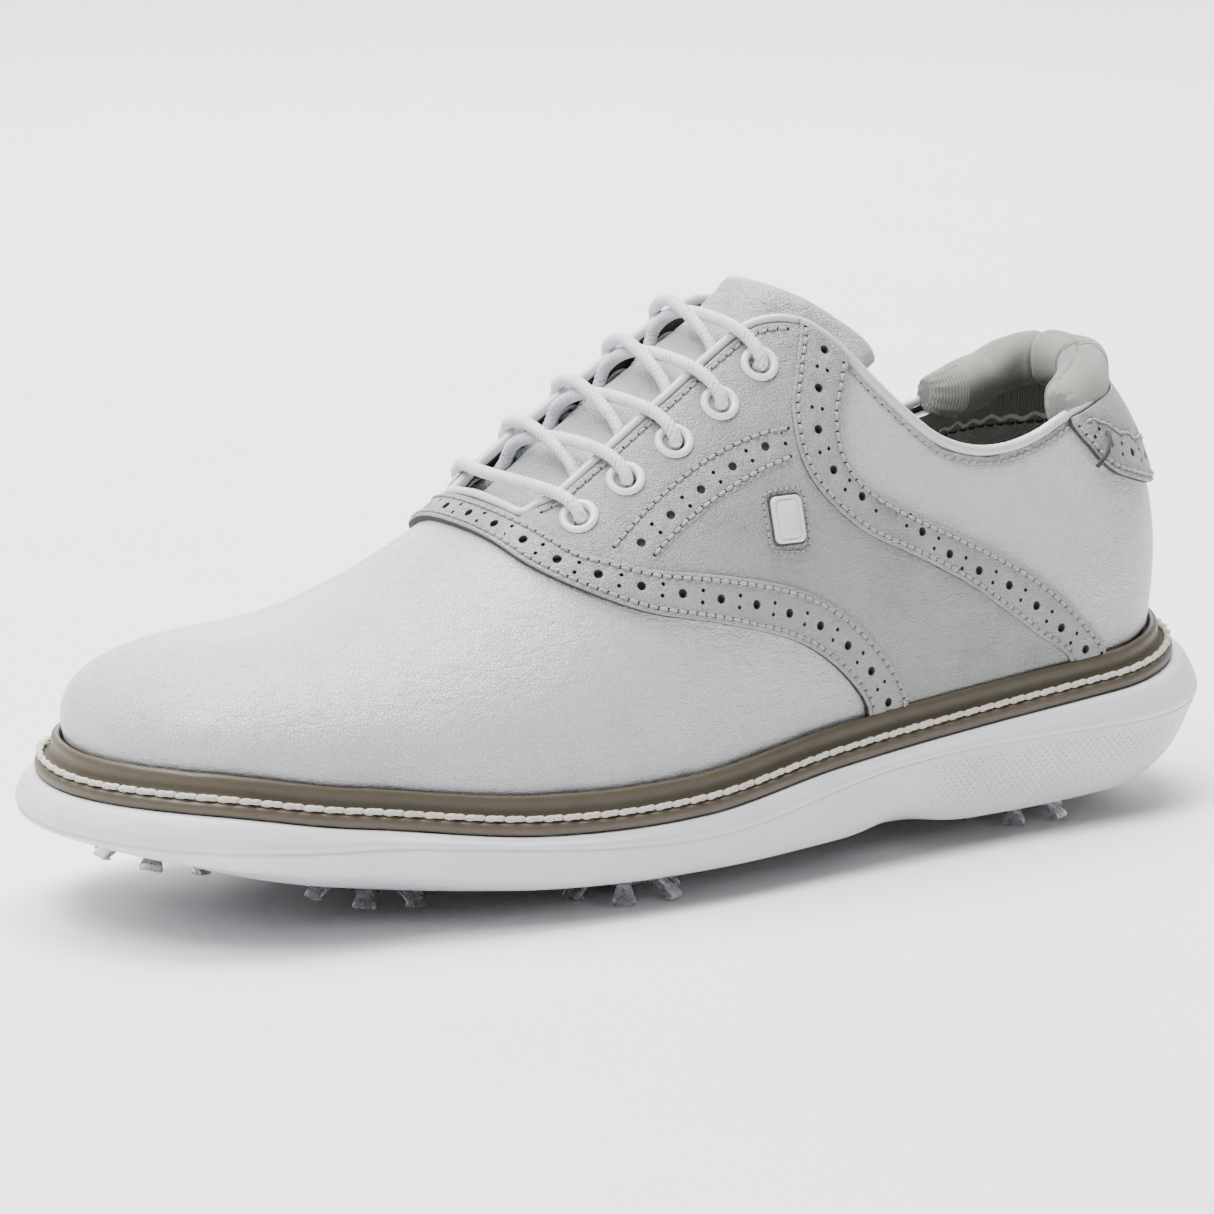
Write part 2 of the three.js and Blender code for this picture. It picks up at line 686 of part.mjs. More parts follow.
// Padded roll inside the collar, thickest over the heel and standing proud of the topline there.
const PAD_FRONT = 62;
const PAD_PROUD = 0.19;
function collarPad() {
  const sections = 22;
  const around = 8;
  const points = [];
  for (let i = 0; i <= sections; i += 1) {
    const u = i / sections;
    const away = Math.abs(2 * u - 1);
    const station = lerp(HEEL_BACK, PAD_FRONT, away);
    const side = u < 0.5 ? LATERAL : MEDIAL;
    const full = Math.sqrt(clamp((1 - away) / 0.35, 0.02, 1));
    const thick = lerp(1.2, 3.8, full);
    const proud = PAD_PROUD * THREE.MathUtils.smoothstep(1 - away, 0.15, 0.75);
    const top = edgeAt(station) + proud;
    const low = smooth(LINING_TOP, station) + 0.03;
    for (let j = 0; j < around; j += 1) {
      const angle = (j / around) * Math.PI * 2;
      const height = lerp((low + top) / 2, top, Math.cos(angle));
      const offset = -1.6 - thick + thick * Math.sin(angle);
      points.push(upperPoint(station, height, side, offset));
    }
  }
  const faces = quads(sections + 1, around + 1, (i, j) => i * around + (j % around));
  const last = sections * around;
  for (let j = 1; j < around - 1; j += 1) {
    faces.push([0, j, j + 1], [last, last + j + 1, last + j]);
  }
  return closed(points, faces);
}
add("collar_pad", collarPad(), liningFabric);

// ---------- piping round the throat and topline ----------
function edgePoint(station, side, beyond, offset) {
  const height = smooth(TOP_EDGE, station);
  const p = upperPoint(station, height, side, offset);
  const up = upperPoint(station, height + 0.01, side, offset).sub(p).normalize();
  return p.addScaledVector(up, beyond);
}
const PIPING_STATIONS = [
  -43, -38, -30, -18, -6, 6, 15, 22, 28, 33, 38, 44, 51, 60, 70, 80, 90, 100, 110, 122, 135, 150,
];
const PIPING_BEYOND = 1.7;
function piping() {
  const run = (side) => PIPING_STATIONS.map((s) => edgePoint(s, side, PIPING_BEYOND, 0));
  const heel = edgePoint(HEEL_BACK, LATERAL, PIPING_BEYOND, 0);
  const throat = upperPoint(-45.2, 1, LATERAL, 0);
  const points = [throat, ...run(LATERAL), heel, ...run(MEDIAL).reverse()];
  const path = new THREE.CatmullRomCurve3(points, true, "centripetal");
  const steps = 56;
  const sides = 4;
  const frames = path.computeFrenetFrames(steps, true);
  const corners = [];
  for (let i = 0; i < steps; i += 1) {
    const centre = path.getPointAt(i / steps);
    for (let j = 0; j < sides; j += 1) {
      const angle = (j / sides) * Math.PI * 2;
      corners.push(
        centre
          .clone()
          .addScaledVector(frames.normals[i], 0.85 * Math.cos(angle))
          .addScaledVector(frames.binormals[i], 0.85 * Math.sin(angle)),
      );
    }
  }
  return closed(corners, quads(steps, sides + 1, (i, j) => i * sides + (j % sides), true));
}
add("topline_piping", piping(), whiteLeather);

// ---------- tongue ----------
const TONGUE_ROOT = -57;
const TONGUE_TIP = 29;
function tonguePlace(u, v, offset) {
  const across = (2 * v - 1) * lerp(0.3, 0.42, clamp(u * 2.5, 0, 1));
  const corner = Math.pow(Math.abs(2 * v - 1), 2);
  const station = lerp(TONGUE_ROOT, TONGUE_TIP, u) + 15 * corner * u * u * u;
  const { side, height } = fromAcross(across);
  const lift = 3.5 * THREE.MathUtils.smoothstep(u, 0.78, 1);
  return upperPoint(station, height, side, offset + lift);
}
const tongue = new THREE.Group();
shoe.add(tongue);
add("tongue", panel(tonguePlace, 14, 6, [-7.4, -6.2]), greyLeather, tongue);
add("tongue_lining", panel(tonguePlace, 10, 6, [-10.4, -7.8]), liningFabric, tongue);

// ---------- eyelets and lace ----------
function eyelet() {
  const profile = [
    [EYELET_HOLE, -1.5], [EYELET_BARREL, -1.5], [EYELET_BARREL, 1.8], [EYELET_FLANGE, 1.8],
    [EYELET_FLANGE - 0.6, 2.6], [EYELET_HOLE, 2.6], [EYELET_HOLE, -1.5],
  ];
  const geometry = new THREE.LatheGeometry(
    profile.map(([x, y]) => new THREE.Vector2(x, y)),
    10,
  );
  return geometry.rotateX(Math.PI / 2);
}
for (const side of SIDES) {
  eyeletFrames[side].forEach((frame, i) => {
    const holder = new THREE.Group();
    holder.applyMatrix4(frame);
    shoe.add(holder);
    add(`eyelet_${SIDE_NAME[side]}_${i + 1}`, eyelet(), whitePlastic, holder);
  });
}

const badgeFrame = (() => {
  const [station, height] = [11, 0.53];
  const p = upperPoint(station, height, LATERAL, 0);
  const normal = upperPoint(station, height, LATERAL, 1).sub(p);
  const up = upperPoint(station, height + 0.02, LATERAL, 0).sub(p).normalize();
  const right = new THREE.Vector3().crossVectors(up, normal).normalize();
  const matrix = new THREE.Matrix4().makeBasis(right, up, normal);
  return matrix.setPosition(p);
})();
function badge() {
  const [w, h, corner] = [4.1, 5.4, 1.5];
  const shape = new THREE.Shape();
  shape.moveTo(-w + corner, -h);
  shape.lineTo(w - corner, -h);
  shape.quadraticCurveTo(w, -h, w, -h + corner);
  shape.lineTo(w, h - corner);
  shape.quadraticCurveTo(w, h, w - corner, h);
  shape.lineTo(-w + corner, h);
  shape.quadraticCurveTo(-w, h, -w, h - corner);
  shape.lineTo(-w, -h + corner);
  shape.quadraticCurveTo(-w, -h, -w + corner, -h);
  const geometry = new THREE.ExtrudeGeometry(shape, {
    depth: 0.9,
    bevelEnabled: false,
    curveSegments: 3,
  });
  return geometry.translate(0, 0, COVER[1] + 0.45);
}
const badgeHolder = new THREE.Group();
badgeHolder.applyMatrix4(badgeFrame);
shoe.add(badgeHolder);
add("badge", badge(), whitePlastic, badgeHolder);

// One lace, criss-crossed up the throat: it enters every eyelet from the outside, comes back out
// from under the leather's edge and crosses to the next row. Both ends are tucked inside the shoe.
const CROSS_OVER = { [LATERAL]: 2.9, [MEDIAL]: -0.7 }; // height of each strand where two cross
const LACE_HIGH = 4.9;
const LACE_UNDER = -4.1;

function throughEyelet(row, side, turn = 1) {
  const [station, height] = EYELETS[row];
  const at = (along, rise, offset) => upperPoint(station + along, height + rise, side, offset);
  return [
    at(-2, 0.08, 4.2),
    at(-0.5, 0.04, LACE_HIGH),
    at(0, 0.01, 4.3),
    at(0.1, -0.004, 2.7),
    at(0, -0.002, 0.4),
    at(0, 0, -2.1),
    at(0.2, turn * 0.01, -3.5),
  ];
}
function underEdge(row, side) {
  const [station, height] = EYELETS[row];
  const at = (along, rise, offset) => upperPoint(station + along, height + rise, side, offset);
  return [at(1.4, 0.036, LACE_UNDER), at(3.6, 0.078, -3.7), at(5.2, 0.11, -1.7)];
}
function crossing(row, from) {
  const station = (EYELETS[row][0] + EYELETS[row + 1][0]) / 2 + 0.5;
  return upperPoint(station, 1, from, CROSS_OVER[from]);
}
const TAIL = [
  [-1, -0.03, -4.0], [-3, -0.07, -4.0], [-6, -0.12, -5.2], [-10, -0.19, -6.6], [-15, -0.27, -7.4],
  [-22, -0.36, -7.6], [-31, -0.45, -7.6], [-42, -0.53, -7.6], [-54, -0.59, -7.8],
  [-66, -0.62, -8],
];
const TIP = [[-66.4, -0.62, -8], [-77, -0.63, -8.2], [-88, -0.63, -8.4]];
function tailPoints(side, table) {
  const [station, height] = EYELETS[EYELETS.length - 1];
  return table.map(([ds, dh, offset]) => upperPoint(station + ds, height + dh, side, offset));
}

function laceRun(side) {
  const points = [];
  let here = side;
  for (let row = 0; row < EYELETS.length; row += 1) {
    const last = row === EYELETS.length - 1;
    points.push(...throughEyelet(row, here, last ? -1 : 1));
    if (!last) {
      points.push(...underEdge(row, here), crossing(row, here));
      here = -here;
    }
  }
  return [...points, ...tailPoints(here, TAIL)];
}
const bottomBar = upperPoint(EYELETS[0][0] - 5.5, 1, LATERAL, 3.2);
const LACE_ROUTE = [...laceRun(LATERAL).reverse(), bottomBar, ...laceRun(MEDIAL)];
add("lace", tube(LACE_ROUTE, LACE_RADIUS, 5, 132), whiteLeather);
for (const side of SIDES) {
  const name = `lace_tip_${SIDE_NAME[side]}`;
  add(name, tube(tailPoints(side, TIP), LACE_RADIUS, 6, 3), whitePlastic);
}

// Small cord loop at the front corner of the heel tab.
const LOOP_POINTS = [[112.5, 0.67, 2.6], [110.5, 0.645, 3.3], [108.5, 0.62, 3.3], [106.5, 0.6, 2.4]];
add(
  "tab_loop",
  tube(LOOP_POINTS.map(([s, h, offset]) => upperPoint(s, h, LATERAL, offset)), 0.6, 6, 5),
  darkPlastic,
);

export default shoe;
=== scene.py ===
"""The looks of a left saddle golf shoe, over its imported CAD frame.

Shapes are worked out in millimetres on the shoe's own design surface and turned to metres when a
mesh is made. A point of the upper is a station along the sole and a share of the height from the
feather line (0) to the ridge (1); the toe is at -X, the heel at +X and the outer side at -Y.
"""
import math

import bmesh
import bpy
import numpy as np
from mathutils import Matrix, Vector
from mathutils.geometry import delaunay_2d_cdt


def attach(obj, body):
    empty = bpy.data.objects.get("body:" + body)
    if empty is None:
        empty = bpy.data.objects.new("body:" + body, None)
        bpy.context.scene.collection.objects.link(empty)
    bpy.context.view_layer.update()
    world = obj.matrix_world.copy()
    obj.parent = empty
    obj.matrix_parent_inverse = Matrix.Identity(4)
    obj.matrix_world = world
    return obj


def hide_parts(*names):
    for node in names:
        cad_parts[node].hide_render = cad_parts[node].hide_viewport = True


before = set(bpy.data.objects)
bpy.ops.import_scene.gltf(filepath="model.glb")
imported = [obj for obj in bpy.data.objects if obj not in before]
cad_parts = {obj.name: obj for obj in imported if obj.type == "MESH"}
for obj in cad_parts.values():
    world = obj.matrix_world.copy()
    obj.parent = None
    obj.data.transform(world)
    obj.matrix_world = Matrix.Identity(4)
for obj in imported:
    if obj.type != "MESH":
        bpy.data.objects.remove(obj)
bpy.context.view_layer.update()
MM = 0.001
WELD_GAP = 0.002 * MM
LATERAL, MEDIAL = -1, 1
SIDES = {"lateral": LATERAL, "medial": MEDIAL}

# ---------- the design surface, as in the CAD ----------
SHIFT = np.array([5.65, 0.85, 0.0])
TOE_X, TOE_Y, TOE_FAN = -104, 3, 46
HEEL_X, HEEL_Y, HEEL_FAN = 105, 4, 38
TOE_TIP = TOE_X - TOE_FAN * math.pi / 2
HEEL_BACK = HEEL_X + HEEL_FAN * math.pi / 2
WELT_LATERAL = [
    (TOE_TIP, 48.5), (-145, 48), (TOE_X, 47.5), (-62, 55.5), (-20, 56.5),
    (20, 50.5), (58, 45), (HEEL_X, 41), (134, 38.5), (HEEL_BACK, 36.5),
]
WELT_MEDIAL = [
    (TOE_TIP, 48.5), (-145, 48.5), (TOE_X, 46), (-62, 47.5), (-20, 40.5),
    (20, 33), (58, 31.5), (HEEL_X, 36), (134, 38), (HEEL_BACK, 36.5),
]
FEATHER_Z = [
    (TOE_TIP, 39), (-135, 38.5), (TOE_X, 34), (-62, 28.5), (-20, 28),
    (20, 32.5), (62, 35.5), (HEEL_X, 38.5), (HEEL_BACK, 43),
]
RIDGE_Z = [
    (-155, 64), (TOE_X, 63), (-78, 68.5), (-52, 81), (-31, 98), (0, 119),
    (25, 133), (45, 132), (65, 120), (95, 114), (140, 112),
]
BULGE = [
    (TOE_TIP, 1.5), (TOE_X, 3), (-40, 2), (20, 1), (60, 1.5), (HEEL_X, 1.8), (HEEL_BACK, 3.2),
]
FEATHER_INSET = 6
ACROSS_POWER, HEIGHT_POWER = 2.3, 2.1
TOP_EDGE = [
    (-47, 0.965), (-43, 0.955), (-36, 0.93), (-10, 0.93), (15, 0.93), (25, 0.9), (31, 0.865),
    (37, 0.81), (43, 0.75), (50, 0.7), (60, 0.665), (75, 0.65), (84, 0.67), (93, 0.7),
    (103, 0.75), (122, 0.79), (HEEL_BACK, 0.81),
]
# Edges by the distance across, 0 on the ridge to 1 at the feather line.
BAND_FRONT = [
    (0, -53), (0.185, -52), (0.36, -49), (0.53, -41), (0.66, -29), (0.765, -9), (0.87, 14),
    (0.95, 28), (1, 33),
]
BAND_REAR = [
    (0, -46.5), (0.2, -45), (0.41, -40), (0.49, -35), (0.58, -26), (0.67, -10), (0.79, 15),
    (0.875, 31), (0.955, 42), (1, 45),
]
VAMP_END = [
    (0, -49), (0.2, -48), (0.4, -44), (0.6, -29), (0.72, -10), (0.82, 8), (0.9, 24), (1, 35),
]
# Edges by the height share.
REAR_BAND_FRONT = [
    (0, 95), (0.13, 83), (0.23, 72), (0.31, 61), (0.37, 45), (0.42, 34), (0.51, 24), (0.62, 18),
    (0.74, 18), (0.82, 22.5), (0.9, 27),
]
REAR_BAND_REAR = [
    (0, 106), (0.13, 99), (0.26, 88), (0.355, 76), (0.43, 61), (0.46, 48), (0.52, 36), (0.6, 30),
    (0.69, 30.5), (0.75, 34), (0.82, 37),
]
HEEL_TAB_EDGE = [
    (100, 0.73), (104, 0.67), (110, 0.59), (116, 0.55), (138, 0.475), (HEEL_BACK, 0.46),
]
LINING_TOP = [
    (-30, 0.58), (20, 0.58), (40, 0.5), (60, 0.4), (100, 0.42), (HEEL_BACK, 0.47),
]
SIDE_FLARE = [
    (TOE_TIP, 4.9), (TOE_X, 3.2), (-20, 2), (40, 3), (HEEL_X, 4.6), (HEEL_BACK, 7),
]
SIDE_Z = [
    (TOE_TIP, 23.5), (TOE_X, 21), (-20, 14.5), (40, 22), (HEEL_X, 22.6), (HEEL_BACK, 23),
]
RIM_Z = [
    (TOE_TIP, 20), (TOE_X, 13), (-62, 7.5), (-20, 6.3), (30, 7), (60, 5.6), (HEEL_X, 6.3),
    (HEEL_BACK, 11.5),
]
RIM_INSET = [
    (TOE_TIP, 9.7), (TOE_X, 5.8), (-20, 2.5), (40, 1.5), (HEEL_X, 1.5), (HEEL_BACK, 8),
]
TREAD_Z = 6.3
SPRING_FROM, SPRING_REACH, SPRING_RISE = -50, 60, 5.2
BEVEL_FROM, BEVEL_REACH, BEVEL_RISE = 112, 30, 3
WELT_DEPTH = 8
TREAD_EDGE = 9
EYELETS = [(-36, 0.86), (-24, 0.855), (-11, 0.85), (2, 0.85), (14, 0.86)]
CLEATS = [(-120, 20), (-85, -14), (-72, 24), (-30, -34), (-16, 18), (88, -19), (94, 21)]
EYESTAY_LOW = [(-28, 0.625), (-24, 0.642), (-15, 0.664), (-5, 0.667), (5, 0.657), (18, 0.634)]
COVER_TOP = 1.5
UPWARD = np.array([0.0, 0.0, 1.0])
rng = np.random.default_rng(7)


def lerp(a, b, t):
    return a + (b - a) * t


def bell(x):
    return np.exp(-(x**2))


def stacked(*parts):
    """Arrays as the last axis of one, after they are brought to one shape."""
    return np.stack(np.broadcast_arrays(*parts), axis=-1)


def shares(rows, cols):
    """A grid's two running shares from 0 to 1, the first down it and the second across."""
    return np.linspace(0, 1, rows)[:, None], np.linspace(0, 1, cols)[None, :]


def turns(sides):
    return np.arange(sides) / sides * 2 * math.pi


def ease(t):
    t = np.clip(t, 0, 1)
    return t * t * (3 - 2 * t)


def smooth(table, s):
    """The table's value at s, on a smooth curve through its points."""
    xs, ys = np.array(table, dtype=float).T
    slope = np.zeros(len(xs))
    slope[1:-1] = (ys[2:] - ys[:-2]) / (xs[2:] - xs[:-2])
    s = np.clip(s, xs[0], xs[-1])
    i = np.clip(np.searchsorted(xs, s, side="right") - 1, 0, len(xs) - 2)
    h = xs[i + 1] - xs[i]
    t = (s - xs[i]) / h
    t2, t3 = t * t, t * t * t
    start = (2 * t3 - 3 * t2 + 1) * ys[i] + (t3 - 2 * t2 + t) * h * slope[i]
    return start + (3 * t2 - 2 * t3) * ys[i + 1] + (t3 - t2) * h * slope[i + 1]


def unit(v):
    return v / np.maximum(np.linalg.norm(v, axis=-1, keepdims=True), 1e-12)


def spine(station, side):
    """The sole's middle line and the way out from it, which fans round the toe and the heel."""
    toe = np.clip((TOE_X - station) / TOE_FAN, 0, math.pi / 2)
    heel = np.clip((station - HEEL_X) / HEEL_FAN, 0, math.pi / 2)
    x = np.clip(station, TOE_X, HEEL_X)
    y = lerp(TOE_Y, HEEL_Y, ease((x - TOE_X) / (HEEL_X - TOE_X)))
    return x, y, np.sin(heel) - np.sin(toe), side * np.cos(toe) * np.cos(heel)


def welt_radius(station, side):
    return np.where(side < 0, smooth(WELT_LATERAL, station), smooth(WELT_MEDIAL, station))


def plan_point(station, side, radius, z):
    x, y, dx, dy = spine(station, side)
    return stacked(x + dx * radius, y + dy * radius, z)


def felt_z(station, side, radius):
    """Height of the feather line's plane over the sole, level across each fan's centre."""
    middle = smooth(FEATHER_Z, np.clip(station, TOE_X, HEEL_X))
    return lerp(middle, smooth(FEATHER_Z, station), radius / welt_radius(station, side))


def tread_z(x):
    """Height of the tread plate, which springs up to the toe and a little to the heel."""
    toe = np.maximum(0, SPRING_FROM - x) / SPRING_REACH
    heel = np.maximum(0, x - BEVEL_FROM) / BEVEL_REACH
    return TREAD_Z + SPRING_RISE * toe**2 + BEVEL_RISE * heel**2


def height_across(across):
    """The height share at a distance across, 0 on the ridge to 1 at the feather line."""
    rise = np.sin((1 - np.minimum(np.abs(across), 1)) * math.pi / 2)
    return np.maximum(rise, 0) ** (2 / HEIGHT_POWER)


def across_at(height):
    return 1 - 2 / math.pi * np.arcsin(np.clip(height, 0, 1) ** (HEIGHT_POWER / 2))


def upper_face(station, height, side):
    """The face of the white leather, whose cross-section is a superellipse that bulges low."""
    x, y, dx, dy = spine(station, side)
    reach = welt_radius(station, side) - FEATHER_INSET
    h = np.clip(height, 0, 1)
    share = np.maximum(0, 1 - h**HEIGHT_POWER) ** (1 / ACROSS_POWER)
    low = smooth(FEATHER_Z, station)
    high = smooth(RIDGE_Z, x + dx * reach * share)
    up = np.clip(height * 1.15, 0, 1)
    radius = reach * share + smooth(BULGE, station) * np.sin(math.pi * up) * (1 - up**12)
    return np.stack([x + dx * radius, y + dy * radius, low + (high - low) * height], axis=-1)


def upper(station, height, side, offset):
    """Points on the upper, offset outwards from the white leather's face."""
    station, height, side, offset = np.broadcast_arrays(
        *(np.asarray(v, dtype=float) for v in (station, height, side, offset))
    )
    seam = (station <= TOE_TIP + 1e-6) | (station >= HEEL_BACK - 1e-6)
    face = np.where(seam, LATERAL, side)
    s0 = np.clip(station, TOE_TIP + 0.5, HEEL_BACK - 0.5)
    across = across_at(height)
    c = np.clip(across, 0.02, 0.98)
    along = upper_face(s0 + 0.5, height, face) - upper_face(s0 - 0.5, height, face)
    crosswise = upper_face(s0, height_across(c + 0.01), face)
    crosswise = crosswise - upper_face(s0, height_across(c - 0.01), face)
    n = unit(np.cross(along, crosswise))
    _, _, dx, dy = spine(station, face)
    outward = n[..., 0] * dx + n[..., 1] * dy + n[..., 2] * 0.5
    n = np.where((outward < 0)[..., None], -n, n)
    n[..., 1] = np.where(seam, 0, n[..., 1])
    p = upper_face(station, height, side)
    slope = (smooth(RIDGE_Z, p[..., 0] + 1) - smooth(RIDGE_Z, p[..., 0] - 1)) / 2
    ridge = unit(np.stack([-slope, np.zeros_like(slope), np.ones_like(slope)], axis=-1))
    near = ease(across / 0.12)[..., None]
    n = unit(ridge * (1 - near) + unit(n) * near)
    return p + n * offset[..., None]


# ---------- charts: flat maps of the upper, in about millimetres ----------
SPREAD = 80.0


def over(plane, offset):
    """The chart that spans the ridge: station and signed distance across."""
    across = plane[..., 1] / SPREAD
    side = np.where(across < 0, LATERAL, MEDIAL)
    return upper(plane[..., 0], height_across(across), side, offset)


def round_heel(plane, offset):
    """The chart that runs on round the heel from the lateral to the medial side."""
    side = np.where(plane[..., 0] <= HEEL_BACK, LATERAL, MEDIAL)
    station = np.where(plane[..., 0] <= HEEL_BACK, plane[..., 0], 2 * HEEL_BACK - plane[..., 0])
    return upper(station, height_across(plane[..., 1] / SPREAD), side, offset)


def at_height(station, height, side):
    """Chart points for stations and height shares on one side."""
    return stacked(station, side * across_at(height) * SPREAD).astype(float)


def metric(place, plane):
    """The maps from a step on the chart to a step in millimetres on the leather, and back."""
    step = 0.2
    plane = np.atleast_2d(plane) * [1.0, 1.0]
    plane[:, 1] = np.clip(plane[:, 1], 2 * step - SPREAD, SPREAD - 2 * step)
    du, dv = (place(plane + way, COVER_TOP) - place(plane - way, COVER_TOP)
              for way in ([step, 0], [0, step]))
    _, r = np.linalg.qr(np.stack([du, dv], axis=-1) / (2 * step))
    flip = np.where(np.linalg.det(r) < 0, -1.0, 1.0)
    r = r * np.stack([np.ones_like(flip), flip], axis=-1)[..., None]
    return r, np.linalg.inv(r)


def circle(place, centre, radius, sides):
    _, back = metric(place, centre)
    ring = radius * np.stack([np.cos(turns(sides)), np.sin(turns(sides))])
    return centre + (back[0] @ ring).T


def beside(place, line, distance):
    """The line moved sideways over the leather by a distance in millimetres."""
    forward, back = metric(place, line)
    way = np.gradient(line, axis=0)
    flat = unit(np.einsum("nij,nj->ni", forward, way))
    normal = np.stack([-flat[:, 1], flat[:, 0]], axis=-1) * distance
    return line + np.einsum("nij,nj->ni", back, normal)


def lengths(points):
    return np.concatenate([[0], np.cumsum(np.linalg.norm(np.diff(points, axis=0), axis=1))])


def read_off(points, run, want):
    """The points of a line at the wanted lengths of its run."""
    return np.stack([np.interp(want, run, column) for column in points.T], axis=-1)


def closed_up(line):
    return np.concatenate([line, line[:1]])


def spaced(place, line, pitch, start=0.0, end=0.0):
    """Points every pitch millimetres along a chart line, stretched a little to come out even."""
    fine = read_off(line, range(len(line)), np.linspace(0, len(line) - 1, 600))
    run = lengths(place(fine, COVER_TOP))
    count = max(1, round((run[-1] - start - end) / pitch))
    return read_off(fine, run, np.linspace(start, run[-1] - end, count + 1))


# ---------- meshes ----------
def grid_faces(rows, cols, wrap_rows=False, wrap_cols=False):
    i = np.arange(rows if wrap_rows else rows - 1)[:, None]
    j = np.arange(cols if wrap_cols else cols - 1)[None, :]
    i2, j2 = (i + 1) % rows, (j + 1) % cols
    corners = stacked(i * cols + j, i * cols + j2, i2 * cols + j2, i2 * cols + j)
    return corners.reshape(-1, 4)


def caps(rows, sides):
    """The two end faces of a tube of rows times sides points."""
    return [list(range(sides))[::-1], [(rows - 1) * sides + k for k in range(sides)]]


def in_space(flat):
    return np.column_stack([flat, flat[:, 0] * 0])


def piece(name, points, faces, looks, stands_for=(), body="shoe", slot=None, picks=None,
          flat=None, sharp=40, weld=False):
    """A mesh of the shoe from millimetre points; picks gives each face's material."""
    mesh = bpy.data.meshes.new(name)
    points = (np.asarray(points).reshape(-1, 3) + SHIFT) * MM
    faces = faces if isinstance(faces, list) else faces.tolist()
    mesh.from_pydata(points.tolist(), [], faces)
    for look in looks:
        mesh.materials.append(look)
    if picks is not None:
        mesh.polygons.foreach_set("material_index", np.asarray(picks, dtype=np.int32))
    if flat is not None:
        flat = np.asarray(flat)
        flat = flat.reshape(-1, flat.shape[-1])
        if flat.shape[1] == 2:
            flat = in_space(flat)
        layer = mesh.attributes.new("flat", "FLOAT_VECTOR", "POINT")
        layer.data.foreach_set("vector", flat.astype(np.float32).ravel())
    mesh.validate()
    mesh.polygons.foreach_set("use_smooth", [True] * len(mesh.polygons))
    obj = bpy.data.objects.new(name, mesh)
    bpy.context.scene.collection.objects.link(obj)
    if weld:
        work = bmesh.new()
        work.from_mesh(mesh)
        bmesh.ops.remove_doubles(work, verts=work.verts, dist=WELD_GAP)
        bmesh.ops.recalc_face_normals(work, faces=work.faces)
        work.to_mesh(mesh)
        work.free()
    mesh.set_sharp_from_angle(angle=math.radians(sharp))
    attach(obj, body)
    if stands_for:
        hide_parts(*stands_for)
    return obj


def inside(points, loop):
    """Which plane points lie inside a closed loop."""
    x, y = points[:, 0][:, None], points[:, 1][:, None]
    x0, y0 = loop.T
    x1, y1 = np.roll(loop, -1, axis=0).T
    rise = np.where(np.abs(y1 - y0) < 1e-12, 1e-12, y1 - y0)
    crossing = ((y0 > y) != (y1 > y)) & (x < (x1 - x0) * (y - y0) / rise + x0)
    return crossing.sum(1) % 2 == 1


def nearest(points, others):
    """Each point's distance to the closest of the others."""
    if not len(others):
        return np.full(len(points), 1e9)
    best = []
    for chunk in np.array_split(points, max(1, len(points) // 500)):
        gap = chunk[:, None, :] - others[None, :, :]
        best.append(np.sqrt((gap**2).sum(-1).min(1)))
    return np.concatenate(best)


def dense(loop, step):
    """A closed loop with points at most step apart."""
    points = []
    for a, b in zip(loop, np.roll(loop, -1, axis=0)):
        count = max(1, math.ceil(np.linalg.norm(b - a) / step))
        points.append(a + (b - a) * (np.arange(count) / count)[:, None])
    return np.concatenate(points)


def is_punched(ring):
    """Whether a loop is a punched hole. The others are needle holes."""
    return np.linalg.norm(ring[0] - ring.mean(0)) > 0.5


def fill(place, outline, rings, lines, bevel):
    """Triangles over a panel: their corners on the chart, each corner's loop, and the triangles."""
    grid = 1.7
    edges_at = np.concatenate([outline, *rings])
    way = np.roll(outline, -1, axis=0) - np.roll(outline, 1, axis=0)
    inward = unit(np.stack([-way[:, 1], way[:, 0]], axis=-1))
    if not inside(outline[:1] + inward[:1] * 0.05, outline)[0]:
        inward = -inward
    punched = [ring for ring in rings if is_punched(ring)]
    centres = np.array([ring.mean(0) for ring in punched])
    extra = [outline + inward * bevel * t for t in (0.4, 1.0)]
    extra += [centre + (ring - centre) * 1.22 for ring, centre in zip(punched, centres)]
    for line in lines:
        extra += [beside(place, spaced(place, line, 1.5), d) for d in (-0.9, 0.9)]
    xs, ys = (np.arange(least, most, grid) for least, most in zip(outline.min(0), outline.max(0)))
    field = np.stack(np.meshgrid(xs, ys, indexing="ij"), axis=-1).reshape(-1, 2)
    field = field + rng.uniform(-0.01, 0.01, field.shape)
    extra = np.concatenate(extra)
    extra = extra[inside(extra, outline) & (nearest(extra, edges_at) > 0.12)]
    field = field[inside(field, outline) & (nearest(field, edges_at) > 0.55 * grid)]
    field = field[nearest(field, extra) > 0.45 * grid]
    field = field[nearest(field, centres) > 1.5]
    extra = extra[nearest(extra, centres) > 0.5]
    points = np.concatenate([edges_at, extra, field])
    owner = np.full(len(points), -1)
    edges, start = [], 0
    for k, ring in enumerate([outline, *rings]):
        ids = np.arange(start, start + len(ring))
        owner[ids] = k
        edges += list(zip(ids.tolist(), np.roll(ids, -1).tolist()))
        start += len(ring)
    coords, _, triangles, origin, _, _ = delaunay_2d_cdt(
        [Vector(p) for p in points], edges, [], 1, 1e-5
    )
    flat = np.array([tuple(c) for c in coords])
    tris = np.array([t for t in triangles if len(t) == 3])
    tris = tris[inside(flat[tris].mean(1), outline)]
    return flat, np.array([owner[o[0]] if o else -1 for o in origin]), tris


